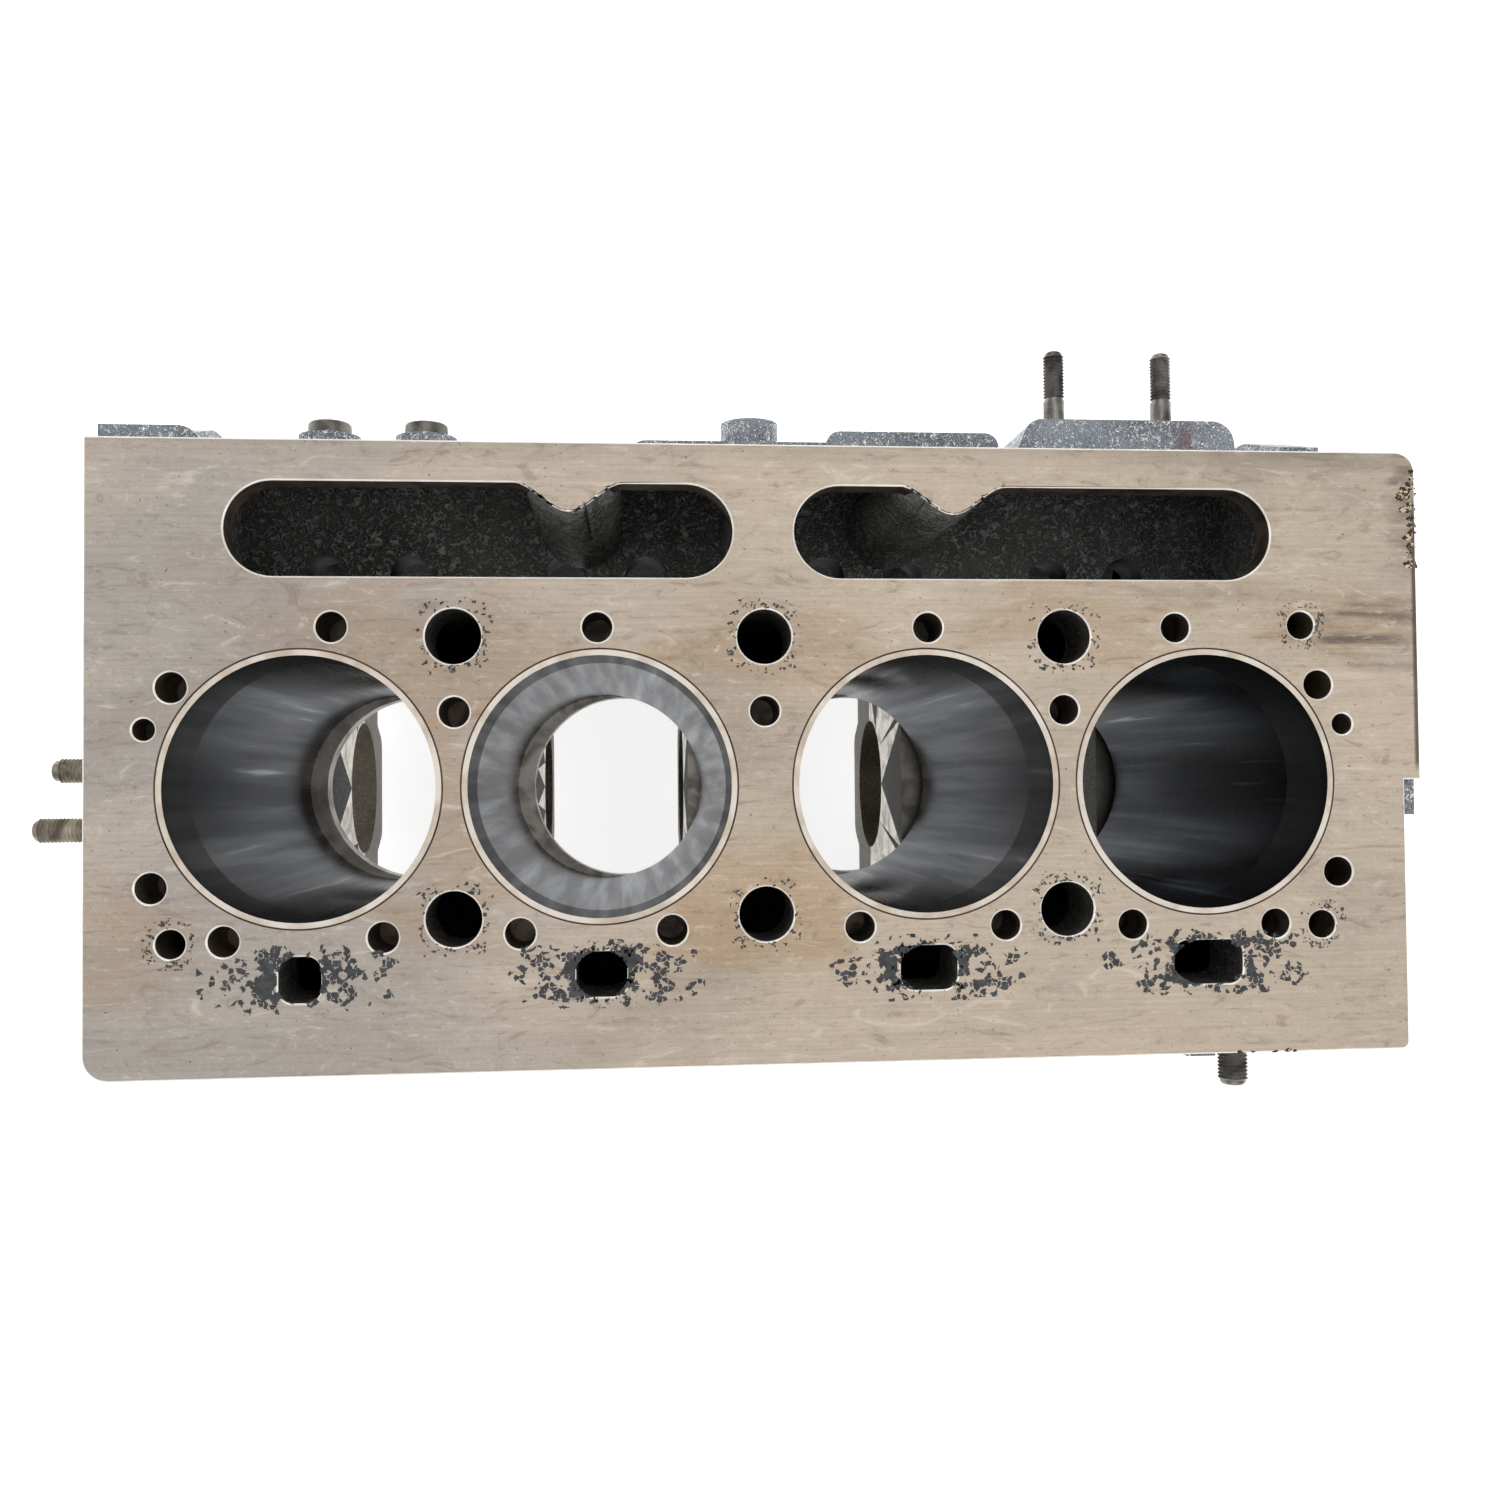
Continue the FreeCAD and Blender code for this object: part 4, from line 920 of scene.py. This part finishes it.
class BLOCK_OT_flakes(bpy.types.Operator):
    """Scatter old sealer flakes round the water holes"""
    bl_idname = "engine_block.flakes"
    bl_label = "Sealer flakes"

    def execute(self, context):
        look = context.scene.flake_look
        tree = flake_tree()
        round_reach = (4.5 * MM, 4.5 * MM)
        window_reach = (29 * MM, 4.5 * MM)
        holes = deck_holes()
        for name, test, reach, belt, share, size in (
                ("sealer_round_holes", lambda h: 9 < h.x / MM < 12, round_reach, 0.5, 0.26, 0.5),
                ("sealer_small_holes", lambda h: 5.2 < h.x / MM < 5.55, round_reach, 0.62, 0.34, 0.42),
                ("sealer_windows", lambda h: 7 < h.x / MM < 14.5 and h.y / MM < 8.8, window_reach, 0, 0.95, 1)):
            mesh = bmesh.new()
            layer = mesh.verts.layers.float.new("cover")
            found = [(where, half) for where, half in holes if test(half)]
            if not found:
                raise RuntimeError("no hole of the deck fits " + name)
            for where, half in found:
                patch_round(mesh, layer, where, half, reach, belt, DECK_Z + 0.04 * MM)
            made = object_from(mesh, name)
            run_tree(made, tree, {"Cover": look.cover * share, "Size": look.size * size, "Seed": look.seed,
                                  "Finish": finish("sealer")})
            settle(made, "block_iron")
        return {"FINISHED"}


# Name, place, size and share of the lamps' power.
LAMPS = (
    ("overhead", (0.2, 0.3, 2.4), 2.6, 1.0),
    ("left", (-2.2, 0.2, 1.4), 1.4, 0.4),
    ("right", (2.2, -0.3, 1.5), 1.4, 0.4),
    ("near", (0.1, -2.4, 1.3), 1.6, 0.35),
    ("far", (-0.2, 2.4, 1.2), 1.6, 0.35),
)
# The camera looks straight down on the deck, a few degrees off its axis.
CAMERA_LENS = 33.19
CAMERA_TURN = (-1.47, 4.96, 0.50)
CAMERA_PLACE = (-0.0511, 0.0002, 0.8733)


class BLOCK_OT_stage(bpy.types.Operator):
    """Lay the floor and set the lamps and the camera"""
    bl_idname = "engine_block.stage"
    bl_label = "Stage"

    def execute(self, context):
        look = context.scene.stage_look
        self.lay_floor(look)
        self.light_world(context)
        for name, where, size, share in LAMPS:
            data = bpy.data.lights.new(name, "AREA")
            data.energy = look.lamp * share
            data.size = size
            lamp = bpy.data.objects.new(name, data)
            lamp.location = where
            lamp.rotation_euler = (Vector((0, 0, 0.2)) - Vector(where)).to_track_quat("-Z", "Y").to_euler()
            context.scene.collection.objects.link(lamp)
        data = bpy.data.cameras.new("camera")
        data.sensor_width = 36
        data.lens = CAMERA_LENS
        camera = bpy.data.objects.new("camera", data)
        turns = [Matrix.Rotation(math.radians(angle), 3, axis) for angle, axis in zip(CAMERA_TURN, "XYZ")]
        tilt, roll, spin = turns
        camera.matrix_world = (tilt @ roll @ spin).transposed().to_4x4()
        camera.location = CAMERA_PLACE
        context.scene.collection.objects.link(camera)
        context.scene.camera = camera
        context.scene.view_settings.view_transform = "Standard"
        return {"FINISHED"}

    def lay_floor(self, look):
        mesh = bmesh.new()
        bmesh.ops.create_grid(mesh, x_segments=1, y_segments=1, size=4.0)
        bmesh.ops.translate(mesh, verts=mesh.verts, vec=(0, 0, CAD_BOX[0][2] - 0.5 * MM))
        floor = object_from(mesh, "floor")
        made, tree, shader, _ = new_finish("painted studio floor")
        shader.inputs["Base Color"].default_value = tuple(look.floor) + (1.0,)
        shader.inputs["Roughness"].default_value = 0.9
        path = add(tree, "ShaderNodeLightPath").outputs
        mirrored = add(tree, "ShaderNodeMath", (path["Is Glossy Ray"], path["Is Transmission Ray"]),
                       operation="MAXIMUM")
        seen = add(tree, "ShaderNodeMath", (path["Is Camera Ray"], mirrored), operation="MAXIMUM")
        strength = add(tree, "ShaderNodeMath", (seen, 0.85), operation="MULTIPLY")
        glow = add(tree, "ShaderNodeEmission", {"Color": (1, 1, 1, 1), "Strength": strength})
        both = add(tree, "ShaderNodeAddShader", (shader, glow))
        output = [n for n in tree.nodes if n.bl_idname == "ShaderNodeOutputMaterial"][0]
        tree.links.new(both.outputs[0], output.inputs["Surface"])
        floor.data.materials.append(made)

    def light_world(self, context):
        world = bpy.data.worlds.new("studio")
        world.use_nodes = True
        tree = world.node_tree
        tree.nodes.clear()
        path = add(tree, "ShaderNodeLightPath").outputs
        soft = add(tree, "ShaderNodeBackground", {"Color": (1, 1, 1, 1), "Strength": 0.33})
        white = add(tree, "ShaderNodeBackground", {"Color": (1, 1, 1, 1), "Strength": 1.0})
        both = add(tree, "ShaderNodeMixShader", (path["Is Camera Ray"], soft, white))
        add(tree, "ShaderNodeOutputWorld", {"Surface": both})
        context.scene.world = world


class BLOCK_PT_panel(bpy.types.Panel):
    """Lists the steps that dress the block"""
    bl_idname = "BLOCK_PT_panel"
    bl_label = "Engine Block"
    bl_space_type = "VIEW_3D"
    bl_region_type = "UI"
    bl_category = "Engine Block"

    def draw(self, context):
        for step in STEPS:
            self.layout.operator(step.bl_idname)
        for name in SETTINGS:
            box = self.layout.box()
            settings = getattr(context.scene, name)
            for prop in settings.bl_rna.properties:
                if prop.identifier not in ("rna_type", "name"):
                    box.prop(settings, prop.identifier)


SETTINGS = {"deck_look": DeckLook, "stud_look": StudLook, "flake_look": FlakeLook, "stage_look": StageLook}
STEPS = (BLOCK_OT_casting, BLOCK_OT_breaks, BLOCK_OT_liners, BLOCK_OT_studs, BLOCK_OT_plugs, BLOCK_OT_flakes,
         BLOCK_OT_stage)
CLASSES = tuple(SETTINGS.values()) + STEPS + (BLOCK_PT_panel,)


def register():
    for item in CLASSES:
        bpy.utils.register_class(item)
    for name, group in SETTINGS.items():
        setattr(bpy.types.Scene, name, PointerProperty(type=group))


def unregister():
    for name in SETTINGS:
        delattr(bpy.types.Scene, name)
    for item in reversed(CLASSES):
        bpy.utils.unregister_class(item)


def main():
    register()
    bpy.ops.engine_block.casting()
    bpy.ops.engine_block.breaks()
    bpy.ops.engine_block.liners()
    bpy.ops.engine_block.studs()
    bpy.ops.engine_block.plugs()
    bpy.ops.engine_block.flakes()
    bpy.ops.engine_block.stage()


if __name__ == "__main__":
    main()
